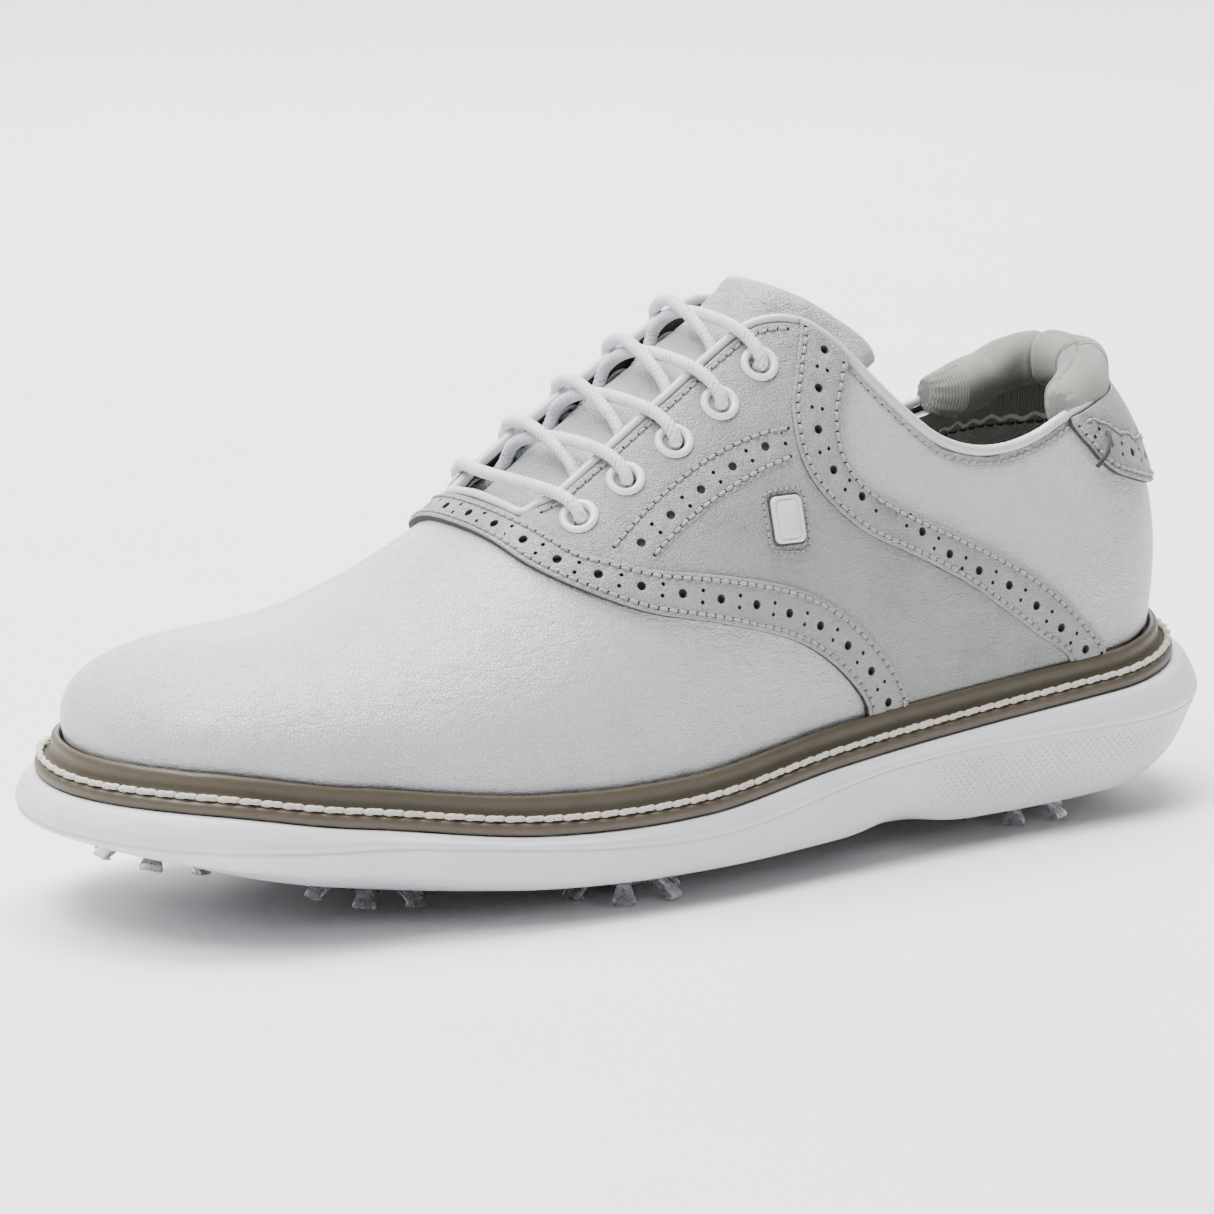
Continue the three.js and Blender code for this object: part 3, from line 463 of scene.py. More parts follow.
def cut_leather(name, place, outline, looks, low, high, pits, lines, ripple, holes=(), bevel=0.4,
                dent=0.26, **facts):
    """A panel of leather cut to an outline on a chart. pits are blind loops with a dark floor,
    holes go through, and the face dips along the stitch lines."""
    outline = dense(outline, 1.3)
    rings = [np.asarray(ring) for ring in (*pits, *holes)]
    flat, ring_of, tris = fill(place, outline, rings, lines, bevel)
    rings_of = ring_of[tris]
    cut = (rings_of[:, 0] > 0) & (rings_of == rings_of[:, :1]).all(1)
    edge_gap = np.minimum(nearest(flat, outline) / bevel, 1)
    drop = bevel * (1 - np.sqrt(1 - (1 - edge_gap) ** 2))
    punched = [ring for ring in rings if is_punched(ring)]
    if punched:
        drop += 0.2 * (1 - np.minimum(nearest(flat, np.concatenate(punched)) / 0.3, 1))
    if lines:
        sewn_at = np.concatenate([spaced(place, line, 0.8) for line in lines])
        drop += dent * bell(nearest(flat, sewn_at) / 0.75)
    drop -= ripple(flat)
    count, blind = len(flat), len(pits)
    open_cut = cut & (rings_of[:, 0] > blind)
    solid, backing, floors = tris[~cut], tris[~open_cut], tris[cut & ~open_cut]
    verts = [place(flat, high - drop), place(flat, low), place(flat, low + 0.12)]
    faces = [*solid.tolist(), *(backing[:, ::-1] + count).tolist(), *(floors + 2 * count).tolist()]
    picks = [0] * len(solid) + [1] * len(backing) + [2] * len(floors)
    # The walls follow the boundary edges of the cut face.
    ends = np.concatenate([solid[:, [0, 1]], solid[:, [1, 2]], solid[:, [2, 0]]])
    have = set(map(tuple, ends.tolist()))
    for a, b in have:
        if (b, a) in have:
            continue
        ring = ring_of[a]
        base = 2 * count if 0 < ring <= blind and ring_of[b] == ring else count
        faces.append([a, a + base, b + base, b])
        picks.append(1 if base == count and ring <= 0 else 2)
    points, faces, used = used_only(np.concatenate(verts), faces)
    return piece(name, points, faces, looks, picks=picks, sharp=50,
                 flat=np.tile(flat, (3, 1))[used], **facts)


def used_only(points, faces):
    """The points that faces use, the faces over them, and which points they were."""
    used = np.unique(np.concatenate([np.asarray(f) for f in faces]))
    place = np.zeros(len(points), dtype=int)
    place[used] = np.arange(len(used))
    return points[used], [[int(place[v]) for v in f] for f in faces], used


def thread_run(place, line, pitch, top, radius=0.32, start=0.0, end=0.0, inward=False):
    """Stitches along a chart line: their points and faces, with the needle holes' places."""
    needle = spaced(place, line, pitch, start, end)
    t = np.array([0.0, 0.14, 0.34, 0.66, 0.86, 1.0])
    rise = np.array([-0.45, 0.05, 0.26, 0.26, 0.05, -0.45])
    width = radius * np.array([0.6, 0.95, 1.1, 1.1, 0.95, 0.6])
    inner = lerp(0.1, 0.9, t)
    path = needle[:-1, None, :] + (needle[1:] - needle[:-1])[:, None, :] * inner[None, :, None]
    centre = place(path, top + (-rise if inward else rise)[None, :])
    normal = unit(place(path, top + 1.0) - place(path, top))
    forward = unit(np.gradient(centre, axis=1))
    across = unit(np.cross(forward, normal))
    up = np.cross(across, forward)
    sides = 6
    angle = turns(sides)[:, None]
    ring = across[:, :, None, :] * np.cos(angle) + up[:, :, None, :] * np.sin(angle)
    points = centre[:, :, None, :] + ring * width[None, :, None, None]
    stitch = grid_faces(len(t), sides, wrap_cols=True).tolist()
    stitch += caps(len(t), sides)
    size = len(t) * sides
    faces = [[v + size * k for v in f] for k in range(len(needle) - 1) for f in stitch]
    return points.reshape(-1, 3), faces, needle


class Sewing:
    """Gathers every row of stitches of one thread, to be made as one mesh."""

    def __init__(self):
        self.points, self.faces, self.count = [], [], 0

    def run(self, place, line, pitch=2.45, top=COVER_TOP - 0.2, **spans):
        points, faces, needle = thread_run(place, line, pitch, top, **spans)
        self.faces += [[v + self.count for v in f] for f in faces]
        self.points.append(points)
        self.count += len(points)
        return needle

    def make(self, name, look, slot):
        piece(name, np.concatenate(self.points), self.faces, [look], slot=slot, sharp=80)


def tube(points, radius, sides, spacing, closed=False, shape=None):
    """A round tube along a smooth curve through the points; shape(angle, run) varies its radius."""
    centre = curve(points, spacing, closed)
    if closed:
        forward = unit(np.roll(centre, -1, axis=0) - np.roll(centre, 1, axis=0))
    else:
        forward = unit(np.gradient(centre, axis=0))
    normal = np.zeros_like(centre)
    first = UPWARD - forward[0] * (UPWARD @ forward[0])
    normal[0] = first if np.linalg.norm(first) > 0.1 else [1, 0, 0]
    for i in range(1, len(centre)):
        carried = normal[i - 1] - forward[i] * (normal[i - 1] @ forward[i])
        normal[i] = carried / np.linalg.norm(carried)
    if closed:
        last = normal[-1] - forward[0] * (normal[-1] @ forward[0])
        twist = math.atan2(np.cross(last, normal[0]) @ forward[0], last @ normal[0])
        share = np.arange(len(centre)) / len(centre) * twist
        side = np.cross(forward, normal)
        normal = normal * np.cos(share)[:, None] + side * np.sin(share)[:, None]
    side = np.cross(forward, normal)
    angle = turns(sides)
    run = lengths(centre)
    size = radius * np.ones((len(centre), sides))
    if shape is not None:
        size = radius * shape(angle[None, :], run[:, None])
    cos, sin = np.cos(angle)[None, :, None], np.sin(angle)[None, :, None]
    points = centre[:, None] + size[..., None] * (normal[:, None] * cos + side[:, None] * sin)
    faces = grid_faces(len(centre), sides, closed, True).tolist()
    if not closed:
        faces += caps(len(centre), sides)
    return points.reshape(-1, 3), faces, stacked(run[:, None], angle * radius).reshape(-1, 2)


def curve(points, spacing, closed):
    """A centripetal Catmull-Rom curve through the points, at even spacing."""
    p = np.asarray(points, dtype=float)
    if closed:
        p = np.concatenate([p[-1:], p, p[:2]])
    else:
        p = np.concatenate([[2 * p[0] - p[1]], p, [2 * p[-1] - p[-2]]])
    fine = []
    for a, b, c, d in zip(p[:-3], p[1:-2], p[2:-1], p[3:]):
        t0 = 0.0
        t1 = t0 + np.linalg.norm(b - a) ** 0.5 + 1e-9
        t2 = t1 + np.linalg.norm(c - b) ** 0.5 + 1e-9
        t3 = t2 + np.linalg.norm(d - c) ** 0.5 + 1e-9
        t = np.linspace(t1, t2, 24, endpoint=False)[:, None]
        ab = (a * (t1 - t) + b * (t - t0)) / (t1 - t0)
        bc = (b * (t2 - t) + c * (t - t1)) / (t2 - t1)
        cd = (c * (t3 - t) + d * (t - t2)) / (t3 - t2)
        abc = (ab * (t2 - t) + bc * (t - t0)) / (t2 - t0)
        bcd = (bc * (t3 - t) + cd * (t - t1)) / (t3 - t1)
        fine.append((abc * (t2 - t) + bcd * (t - t1)) / (t2 - t1))
    fine = np.concatenate([*fine, p[-2:-1]] if not closed else [*fine, fine[0][:1]])
    run = lengths(fine)
    count = max(2, round(run[-1] / spacing))
    want = np.linspace(0, run[-1], count + 1)
    return read_off(fine, run, want[:-1] if closed else want)


def wander(points, length, seed):
    """Smooth unevenness between -1 and 1 over space, with features about a length across."""
    waves = 9
    source = np.random.default_rng(seed)
    ways = unit(source.normal(size=(waves, 3))) * source.uniform(0.6, 1.6, (waves, 1))
    phase = source.uniform(0, 2 * math.pi, waves)
    return np.sin(points @ ways.T * (2 * math.pi / length) + phase).sum(-1) / waves**0.5 / 1.6


# ---------- materials ----------
def node(tree, kind, sockets=None, **settings):
    made = tree.nodes.new(kind)
    for key, value in settings.items():
        setattr(made, key, value)
    for key, value in (sockets or {}).items():
        if isinstance(value, bpy.types.NodeSocket):
            tree.links.new(value, made.inputs[key])
        else:
            made.inputs[key].default_value = value
    return made


def maths(tree, operation, a, b=0.0):
    return node(tree, "ShaderNodeMath", {0: a, 1: b}, operation=operation).outputs[0]


def ramp(tree, value, stops):
    made = node(tree, "ShaderNodeValToRGB", {"Fac": value})
    elements = made.color_ramp.elements
    while len(elements) < len(stops):
        elements.new(0.5)
    for element, (place, colour) in zip(elements, stops):
        element.position = place
        element.color = (*colour, 1) if not np.isscalar(colour) else (colour, colour, colour, 1)
    return made.outputs["Color"]


class Finish:
    """One material: its shader, its place in space and the heights its bumps add up from."""

    def __init__(self, name, **shader):
        self.material = bpy.data.materials.new(name)
        self.material.use_nodes = True
        self.tree = self.material.node_tree
        self.shader = self.tree.nodes["Principled BSDF"]
        self.place = node(self.tree, "ShaderNodeTexCoord").outputs["Object"]
        self.normal = None
        self.set(**shader)

    def set(self, **shader):
        for key, value in shader.items():
            socket = self.shader.inputs[key.replace("_", " ").title().replace("Ior", "IOR")]
            if isinstance(value, bpy.types.NodeSocket):
                self.tree.links.new(value, socket)
            else:
                socket.default_value = (*value, 1) if isinstance(value, tuple) else value

    def noise(self, per_mm, detail=3.0, roughness=0.55, stretch=None):
        place = self.place
        if stretch:
            place = node(
                self.tree, "ShaderNodeMapping", {"Vector": place, "Scale": stretch}
            ).outputs[0]
        sockets = {"Vector": place, "Scale": per_mm / MM, "Detail": detail, "Roughness": roughness}
        return node(self.tree, "ShaderNodeTexNoise", sockets).outputs["Fac"]

    def cell_edges(self, per_mm, warp):
        """The distance to the nearest edge between cells, over a place bent by noise."""
        bend = node(self.tree, "ShaderNodeTexNoise",
                    {"Vector": self.place, "Scale": per_mm * 0.7 / MM, "Detail": 1.0})
        shift = node(self.tree, "ShaderNodeVectorMath",
                     {0: bend.outputs["Color"], "Scale": warp * MM}, operation="SCALE")
        place = node(self.tree, "ShaderNodeVectorMath", {0: self.place, 1: shift.outputs[0]},
                     operation="ADD").outputs[0]
        return node(self.tree, "ShaderNodeTexVoronoi", {"Vector": place, "Scale": per_mm / MM},
                    feature="DISTANCE_TO_EDGE").outputs["Distance"]

    def bump(self, height, depth):
        sockets = {"Height": height, "Distance": depth * MM, "Strength": 1.0}
        if self.normal is not None:
            sockets["Normal"] = self.normal
        self.normal = node(self.tree, "ShaderNodeBump", sockets).outputs["Normal"]
        self.tree.links.new(self.normal, self.shader.inputs["Normal"])

    def tint(self, value, stops):
        self.set(base_color=ramp(self.tree, value, stops))

    def flat(self):
        """The piece's own flat coordinates, in millimetres, and its third number."""
        place = node(self.tree, "ShaderNodeAttribute", attribute_name="flat").outputs["Vector"]
        return node(self.tree, "ShaderNodeSeparateXYZ", {0: place}).outputs

    def add(self, a, b):
        return maths(self.tree, "ADD", a, b)

    def times(self, a, b):
        return maths(self.tree, "MULTIPLY", a, b)

    def wave(self, along, pitch):
        return maths(self.tree, "SINE", self.times(along, 2 * math.pi / pitch))

    def uneven_gloss(self, noise, spread, least):
        self.set(roughness=self.add(self.times(noise, spread), least))


def leather(name, light, dark, cell, depth, roughness=0.42, wrinkle=0.25, mottle=0.35):
    """Coated leather: rounded pebbles with creases between them, over soft wrinkles. Its tint has
    painted shade, darker in the creases and in the wrinkles' hollows, over its own uneven tone.
    """
    look = Finish(name, coat_weight=0.25, coat_roughness=0.28)
    pebbles = look.cell_edges(1 / cell, cell * 0.55)
    shape = ramp(look.tree, pebbles, [(0.0, 0.0), (0.1, 0.55), (0.38, 1.0)])
    folds = look.noise(0.42, 3.0, 0.6, stretch=(1.0, 1.0, 1.8))
    # Painted shade: the tint follows the bump heights, darker where pebbles meet and in the fold
    # hollows. The broad noise is the leather's own uneven tone.
    crease_shade_and_mottle = look.times(shape, 0.5 - 0.5 * mottle)
    crease_shade_and_mottle = look.add(crease_shade_and_mottle, look.times(look.noise(0.06, 4.0), mottle))
    look.tint(look.add(crease_shade_and_mottle, look.times(folds, 0.25)), [(0.3, dark), (0.55, light)])
    look.bump(look.noise(0.13, 2.0), wrinkle * 1.6)
    look.bump(folds, wrinkle)
    look.bump(shape, depth)
    look.bump(look.noise(2.6, 2.0), depth * 0.3)
    look.uneven_gloss(look.noise(0.4), 0.22, roughness - 0.1)
    return look.material


def vinyl(name, colour, roughness, grain=0.0, per_mm=3.0, **shader):
    """A moulded or smooth surface with a slight unevenness and, if asked, a fine grain."""
    look = Finish(name, **shader)
    deep = tuple(c * 0.86 for c in colour)
    look.tint(look.noise(0.12, 4.0), [(0.3, deep), (0.65, colour)])
    look.uneven_gloss(look.noise(0.7, 4.0), 0.2, roughness - 0.1)
    look.bump(look.noise(0.25, 2.0), 0.08)
    if grain:
        look.bump(look.noise(per_mm, 2.0), grain)
    return look.material


def raw_edge():
    """The cut side of leather: dark, fibrous and dull."""
    look = Finish("leather_raw_edge", roughness=0.85)
    fibres = look.noise(1.8, 5.0, 0.7)
    look.tint(fibres, [(0.3, (0.025, 0.022, 0.017)), (0.55, (0.07, 0.064, 0.05)),
                       (0.78, (0.15, 0.138, 0.108))])
    look.bump(fibres, 0.25)
    return look.material


def ribbed(name, light, dark, pitch, depth):
    """A knitted cloth whose ribs follow the piece's own flat coordinates, with painted shade darker
    in the grooves between them.
    """
    look = Finish(name, roughness=0.72, sheen_weight=0.5, sheen_roughness=0.4)
    across, along, _ = look.flat()
    ribs = look.add(look.wave(across, pitch), 1.0)
    knots = look.times(look.wave(along, pitch * 0.55), 0.25)
    height = look.add(look.times(ribs, 0.5), knots)
    # Painted shade: darker in the grooves between the ribs and knots, over random tone from the
    # noise.
    relief_shade_and_tone = look.add(height, look.times(look.noise(0.2), 0.5))
    look.tint(relief_shade_and_tone, [(0.15, dark), (1.0, light)])
    look.bump(height, depth)
    look.bump(look.noise(2.5), depth * 0.4)
    return look.material


def woven(name, light, dark, pitch, depth):
    """A flat weave by the piece's own flat coordinates, with painted shade darker where the threads
    dip.
    """
    look = Finish(name, roughness=0.9, sheen_weight=0.3)
    across, along, _ = look.flat()
    weave = look.times(look.wave(across, pitch), look.wave(along, pitch))
    height = look.add(look.times(weave, 0.5), 0.5)
    # Painted shade: darker where the weave dips, over random tone from the noise.
    relief_shade_and_tone = look.add(look.times(height, 0.6), look.times(look.noise(0.3), 0.4))
    look.tint(relief_shade_and_tone, [(0.2, dark), (0.8, light)])
    look.bump(height, depth)
    return look.material


def spun(name, light, dark, per_mm=2.2):
    """Thread or cord: fine fibres over a soft shape."""
    look = Finish(name, roughness=0.75, sheen_weight=0.25)
    fibres = look.noise(per_mm, 4.0, 0.6)
    look.tint(fibres, [(0.3, dark), (0.7, light)])
    look.bump(fibres, 0.06)
    return look.material


def braided(name, light, dark):
    """A braided cord with painted shade, darker in the grooves between its strands, which the mesh
    marks.
    """
    look = Finish(name, roughness=0.75, sheen_weight=0.25)
    _, _, strand = look.flat()
    fibres = look.noise(3.0, 3.0)
    # Painted shade in the grooves between strands, over random fibre tone.
    value = look.add(look.times(strand, 0.6), look.times(fibres, 0.3))
    look.tint(value, [(0.2, dark), (0.52, light)])
    look.bump(fibres, 0.08)
    return look.material


def foam():
    """The moulded midsole: matt with a fine skin, and rows of small dots low on the heel."""
    look = Finish("moulded_foam", subsurface_weight=0.06, subsurface_scale=0.004)
    look.tint(look.noise(0.05, 4.0), [(0.3, (0.6, 0.6, 0.64)), (0.66, (0.68, 0.68, 0.72))])
    look.uneven_gloss(look.noise(0.5), 0.25, 0.36)
    look.bump(look.noise(1.3, 3.0), 0.09)
    across, along, dotted = look.flat()
    dots = look.times(look.wave(across, 2.1), look.wave(along, 2.1))
    look.bump(look.times(maths(look.tree, "MAXIMUM", dots, 0.0), dotted), 0.26)
    return look.material


def clear_plastic(name, colour, clearness):
    """Smoky see-through plastic, a little cloudy inside and scuffed outside."""
    look = Finish(name, transmission_weight=clearness, ior=1.45, subsurface_weight=0.15,
                  subsurface_scale=0.003)
    look.tint(look.noise(0.15, 4.0), [(0.3, tuple(c * 0.75 for c in colour)), (0.7, colour)])
    look.uneven_gloss(look.noise(0.9, 5.0), 0.3, 0.12)
    look.bump(look.noise(0.5, 3.0), 0.1)
    return look.material


WHITE = leather("white_leather_grain", (0.60, 0.60, 0.63), (0.49, 0.49, 0.52), 0.85, 0.2,
                wrinkle=0.55)
VAMP = leather("white_leather_fine", (0.61, 0.61, 0.64), (0.51, 0.51, 0.54), 0.8, 0.17,
               roughness=0.38, wrinkle=0.6)
GREY = leather("grey_leather_grain", (0.345, 0.368, 0.355), (0.225, 0.245, 0.237), 0.7, 0.22,
               roughness=0.55, wrinkle=0.6, mottle=0.65)
TONGUE = leather("grey_tongue_leather", (0.42, 0.45, 0.435), (0.29, 0.315, 0.305), 0.8, 0.2,
                 roughness=0.5, wrinkle=0.6, mottle=0.6)
EDGE = raw_edge()
DARK = vinyl("hole_shadow", (0.105, 0.1, 0.085), 0.9)
PIPING = vinyl("piping_leather", (0.63, 0.63, 0.665), 0.35, 0.02, 1.6, coat_weight=0.3)
SEAM_THREAD = spun("seam_thread", (0.43, 0.44, 0.43), (0.24, 0.25, 0.24))
WELT_THREAD = spun("welt_thread", (0.66, 0.63, 0.55), (0.36, 0.335, 0.28), 1.8)
LACE = braided("braided_lace", (0.72, 0.72, 0.77), (0.26, 0.26, 0.31))
BLACK = spun("black_cord", (0.03, 0.03, 0.032), (0.008, 0.008, 0.009))
PAD_CLOTH = ribbed("collar_ribbed_cloth", (0.31, 0.318, 0.283), (0.17, 0.175, 0.153), 0.6, 0.14)
LINING = woven("lining_cloth", (0.42, 0.42, 0.385), (0.26, 0.26, 0.235), 0.8, 0.12)
SOCK = woven("sockliner_cloth", (0.24, 0.245, 0.25), (0.12, 0.122, 0.126), 1.0, 0.12)
RAW_LINING = vinyl("lining_edge", (0.78, 0.78, 0.76), 0.8, 0.06, 2.5)
WELT = vinyl("welt_rubber_brown", (0.082, 0.066, 0.043), 0.48, 0.05, 2.0)
FOAM = foam()
PLATE = vinyl("tread_plate_rubber", (0.36, 0.37, 0.39), 0.45, 0.05, 1.5)
CLEAR = clear_plastic("cleat_clear_tpu", (0.78, 0.8, 0.82), 0.85)
SOCKET = vinyl("receptacle_nylon", (0.055, 0.058, 0.063), 0.4, 0.03, 1.5)
GLOSS = vinyl("eyelet_enamel", (0.82, 0.82, 0.84), 0.22, coat_weight=0.5, coat_roughness=0.1)
BADGE = vinyl("badge_plastic", (0.78, 0.78, 0.80), 0.28, 0.01, 1.2, coat_weight=0.4)
STEEL = vinyl("shank_steel", (0.35, 0.36, 0.37), 0.35, 0.01, 2.0, metallic=1.0)
BOARD = vinyl("fibre_board_tan", (0.38, 0.26, 0.15), 0.85, 0.15, 1.2)


# ---------- upper ----------
BAND_TOP = 1.9
SADDLE_TOP = 1.05
EYESTAY_TOP = 1.3
TAB_TOP = 1.8
BAND_MARGIN = 1.35
BIG_PUNCH, SMALL_PUNCH, PUNCH_SPREAD = 1.08, 0.51, 1.35
STITCH_SINK = 0.16
PANEL_LOW = 0.05
TOP_MARGIN = 0.006
seams = Sewing()


def edge_height(station):
    """Where the leathers end below the piping, as a height share."""
    return smooth(TOP_EDGE, station) - TOP_MARGIN


def along(table, start, end, count):
    """Station and share pairs down a table from start to end."""
    share = np.linspace(start, end, count)
    return np.stack([smooth(table, share), share], axis=-1)


def cross_line(table, count):
    """A chart line across the ridge from a table, from the lateral to the medial side."""
    across = np.linspace(-1, 1, count)
    return np.stack([smooth(table, np.abs(across)), across * SPREAD], axis=-1)


def height_line(pairs, side):
    pairs = np.asarray(pairs)
    return at_height(pairs[:, 0], pairs[:, 1], side)


def side_line(share_at, start, end, count, side):
    """A chart line over a run of stations, at the height share that share_at gives each."""
    return height_line([(s, share_at(s)) for s in np.linspace(start, end, count)], side)


def sewn(place, rows, top, hole=0.5, **spans):
    """Sews rows of stitches on a face and gives the loops of their needle holes."""
    return [circle(place, p, hole, 6)
            for row in rows for p in seams.run(place, row, top=top - STITCH_SINK, **spans)]


def grey_panel(node_name, place, outline, top, **cut):
    cut_leather(f"{node_name}_skin", place, outline, [GREY, EDGE, DARK], low=PANEL_LOW, high=top,
                stands_for=[node_name], slot="grey_leather", **cut)


def brogue(place, line, pitch=5.0, start=2.5, end=2.5):
    """The punched pattern: big round holes with a pair of small ones across between them."""
    points = spaced(place, line, pitch, start, end)
    rings = []
    left, right = (beside(place, points, d) for d in (-PUNCH_SPREAD, PUNCH_SPREAD))
    for k, point in enumerate(points):
        if k % 2 == 0:
            rings.append(circle(place, point, BIG_PUNCH, 18))
        else:
            rings += [circle(place, row[k], SMALL_PUNCH, 10) for row in (left, right)]
    return rings


def creased(seed, length, depth):
    """A ripple for cut_leather: shallow folds a few millimetres apart."""
    def ripple(flat):
        return depth * wander(in_space(flat), length, seed)
    return ripple


def make_band(node_name, front, rear, seed, punched=None, **spans):
    """A strip between two edges, with a row of stitches inside each and punched holes between."""
    middle = len(front) // 2
    way = 1 if beside(over, front, BAND_MARGIN)[middle, 0] > front[middle, 0] else -1
    rows = [beside(over, front, BAND_MARGIN * way), beside(over, rear, -BAND_MARGIN * way)]
    pricks = sewn(over, rows, BAND_TOP, **spans)
    holes = brogue(over, (front + rear) / 2, **(punched or {}))
    grey_panel(node_name, over, np.concatenate([front, rear[::-1]]), BAND_TOP,
               pits=[*holes, *pricks], lines=rows, ripple=creased(seed, 9, 0.05))


def make_front_band():
    front = cross_line(BAND_FRONT, 140)
    rear = cross_line(BAND_REAR, 140)
    make_band("front_band", front, rear, 3)


def make_rear_band(name, side):
    front = height_line(along(REAR_BAND_FRONT, 0, 0.895, 90), side)
    rear = height_line(along(REAR_BAND_REAR, 0, 0.805, 90), side)
    make_band(f"rear_band_{name}", front, rear, 5 + side, {"start": 3, "end": 4},
              start=1.0, end=2.2)


BADGE_AT = (11, 0.53)


def face_frame(station, height, side):
    """A point of the upper with its axes: right, up and out."""
    origin = upper(station, height, side, 0)
    out = upper(station, height, side, 1.0) - origin
    up = unit(upper(station, height + 0.02, side, 0) - origin)
    return origin, np.cross(up, out), up, out


def rounded_box(width, height, corner, sides=8):
    """A flat loop: a rectangle of half sizes width and height with round corners."""
    points = []
    for k, (sx, sy) in enumerate([(1, 1), (-1, 1), (-1, -1), (1, -1)]):
        angle = (k + np.linspace(0, 1, sides)) * math.pi / 2
        centre = np.array([sx * (width - corner), sy * (height - corner)])
        points.append(centre + corner * np.stack([np.cos(angle), np.sin(angle)], axis=-1))
    return np.concatenate(points)


def badge_ring(width, height, corner):
    """A rounded box round the badge, on the chart."""
    centre = at_height(*BADGE_AT, LATERAL)
    _, right, up, _ = face_frame(*BADGE_AT, LATERAL)
    step = 0.5
    du = (over(centre + [step, 0], 0) - over(centre - [step, 0], 0)) / (2 * step)
    dv = (over(centre + [0, step], 0) - over(centre - [0, step], 0)) / (2 * step)
    basis = np.array([[right @ du, right @ dv], [up @ du, up @ dv]])
    return centre + (np.linalg.inv(basis) @ rounded_box(width, height, corner).T).T


def make_saddle(name, side):
    heights = np.linspace(0, 0.64, 60)
    front = height_line([(smooth(BAND_REAR, across_at(h)) - 0.9, h) for h in heights], side)
    rear = height_line([(smooth(REAR_BAND_FRONT, h) + 0.9, h) for h in heights], side)
    top = side_line(lambda s: smooth(EYESTAY_LOW, s) + 0.006, -26, 17, 40, side)
    rows = [closed_up(badge_ring(5.7, 7.0, 2.2))] if side == LATERAL else []
    pits = sewn(over, rows, SADDLE_TOP, 0.28, pitch=1.6, radius=0.2)[:-1]
    grey_panel(f"saddle_{name}", over, np.concatenate([front, top, rear[::-1]]), SADDLE_TOP,
               pits=pits, lines=rows, ripple=creased(11 + side, 12, 0.07), dent=0.14)


def eyelet_holes(side, radius, sides):
    return [circle(over, at_height(s, h, side), radius, sides) for s, h in EYELETS]


def make_eyestay(name, side):
    front = np.array([(smooth(BAND_REAR, across_at(h)) - 0.7, h)
                      for h in np.linspace(0.63, 0.955, 40)])
    rear = np.array([(smooth(REAR_BAND_FRONT, h) + 0.9, h)
                     for h in np.linspace(0.633, 0.893, 36)])
    low = np.array([(s, smooth(EYESTAY_LOW, s)) for s in np.linspace(18.4, front[0, 0] + 0.8, 50)])
    top = np.array([(s, edge_height(s)) for s in np.linspace(front[-1, 0], rear[-1, 0], 80)])
    outline = height_line(np.concatenate([front, top[1:-1], rear[::-1], low]), side)
    rows = [
        side_line(lambda s: smooth(EYESTAY_LOW, s) + 0.016, -25, 16.5, 50, side),
        side_line(lambda s: 0.772 - 0.00008 * (s + 12) ** 2, -33, 17.5, 50, side),
        side_line(lambda s: edge_height(s) - 0.013, -42, 25, 80, side),
    ]
    middle = side_line(lambda s: 0.722 - 0.00005 * (s + 8) ** 2, -28, 17, 50, side)
    pricks = sewn(over, rows, EYESTAY_TOP, start=1, end=1.5)
    grey_panel(f"eyestay_{name}", over, outline, EYESTAY_TOP,
               pits=[*brogue(over, middle, start=2, end=3), *pricks],
               holes=eyelet_holes(side, 3.1, 22), lines=rows, ripple=creased(23 + side, 7, 0.09))


def make_quarter(name, side):
    back_end = HEEL_BACK - 0.12
    front = np.array([(smooth(VAMP_END, across_at(h)) + 3, h) for h in np.linspace(0, 0.95, 70)])
    top = np.array([(s, edge_height(s))
                    for s in np.concatenate([np.linspace(-44, 90, 120),
                                             np.linspace(91, back_end, 50)])])
    top = top[top[:, 0] > front[-1, 0] + 0.3]
    rear = np.array([(back_end, h) for h in np.linspace(edge_height(back_end), 0, 30)])
    outline = height_line(np.concatenate([front, top, rear[1:]]), side)
    rows = [
        side_line(lambda s: edge_height(s) - 0.02, 37, 104, 70, side),
        height_line([(back_end - 2.2, h) for h in np.linspace(0.03, 0.45, 30)], side),
    ]
    pricks = sewn(over, rows, STITCH_SINK - 0.12, 0.32)
    cut_leather(
        f"quarter_{name}_skin", over, outline, [WHITE, EDGE, DARK], low=-1.3, high=0.0,
        pits=pricks, holes=eyelet_holes(side, 3.0, 14), lines=rows,
        ripple=creased(31 + side, 16, 0.12), stands_for=[f"quarter_{name}"],
        slot="white_leather",
    )


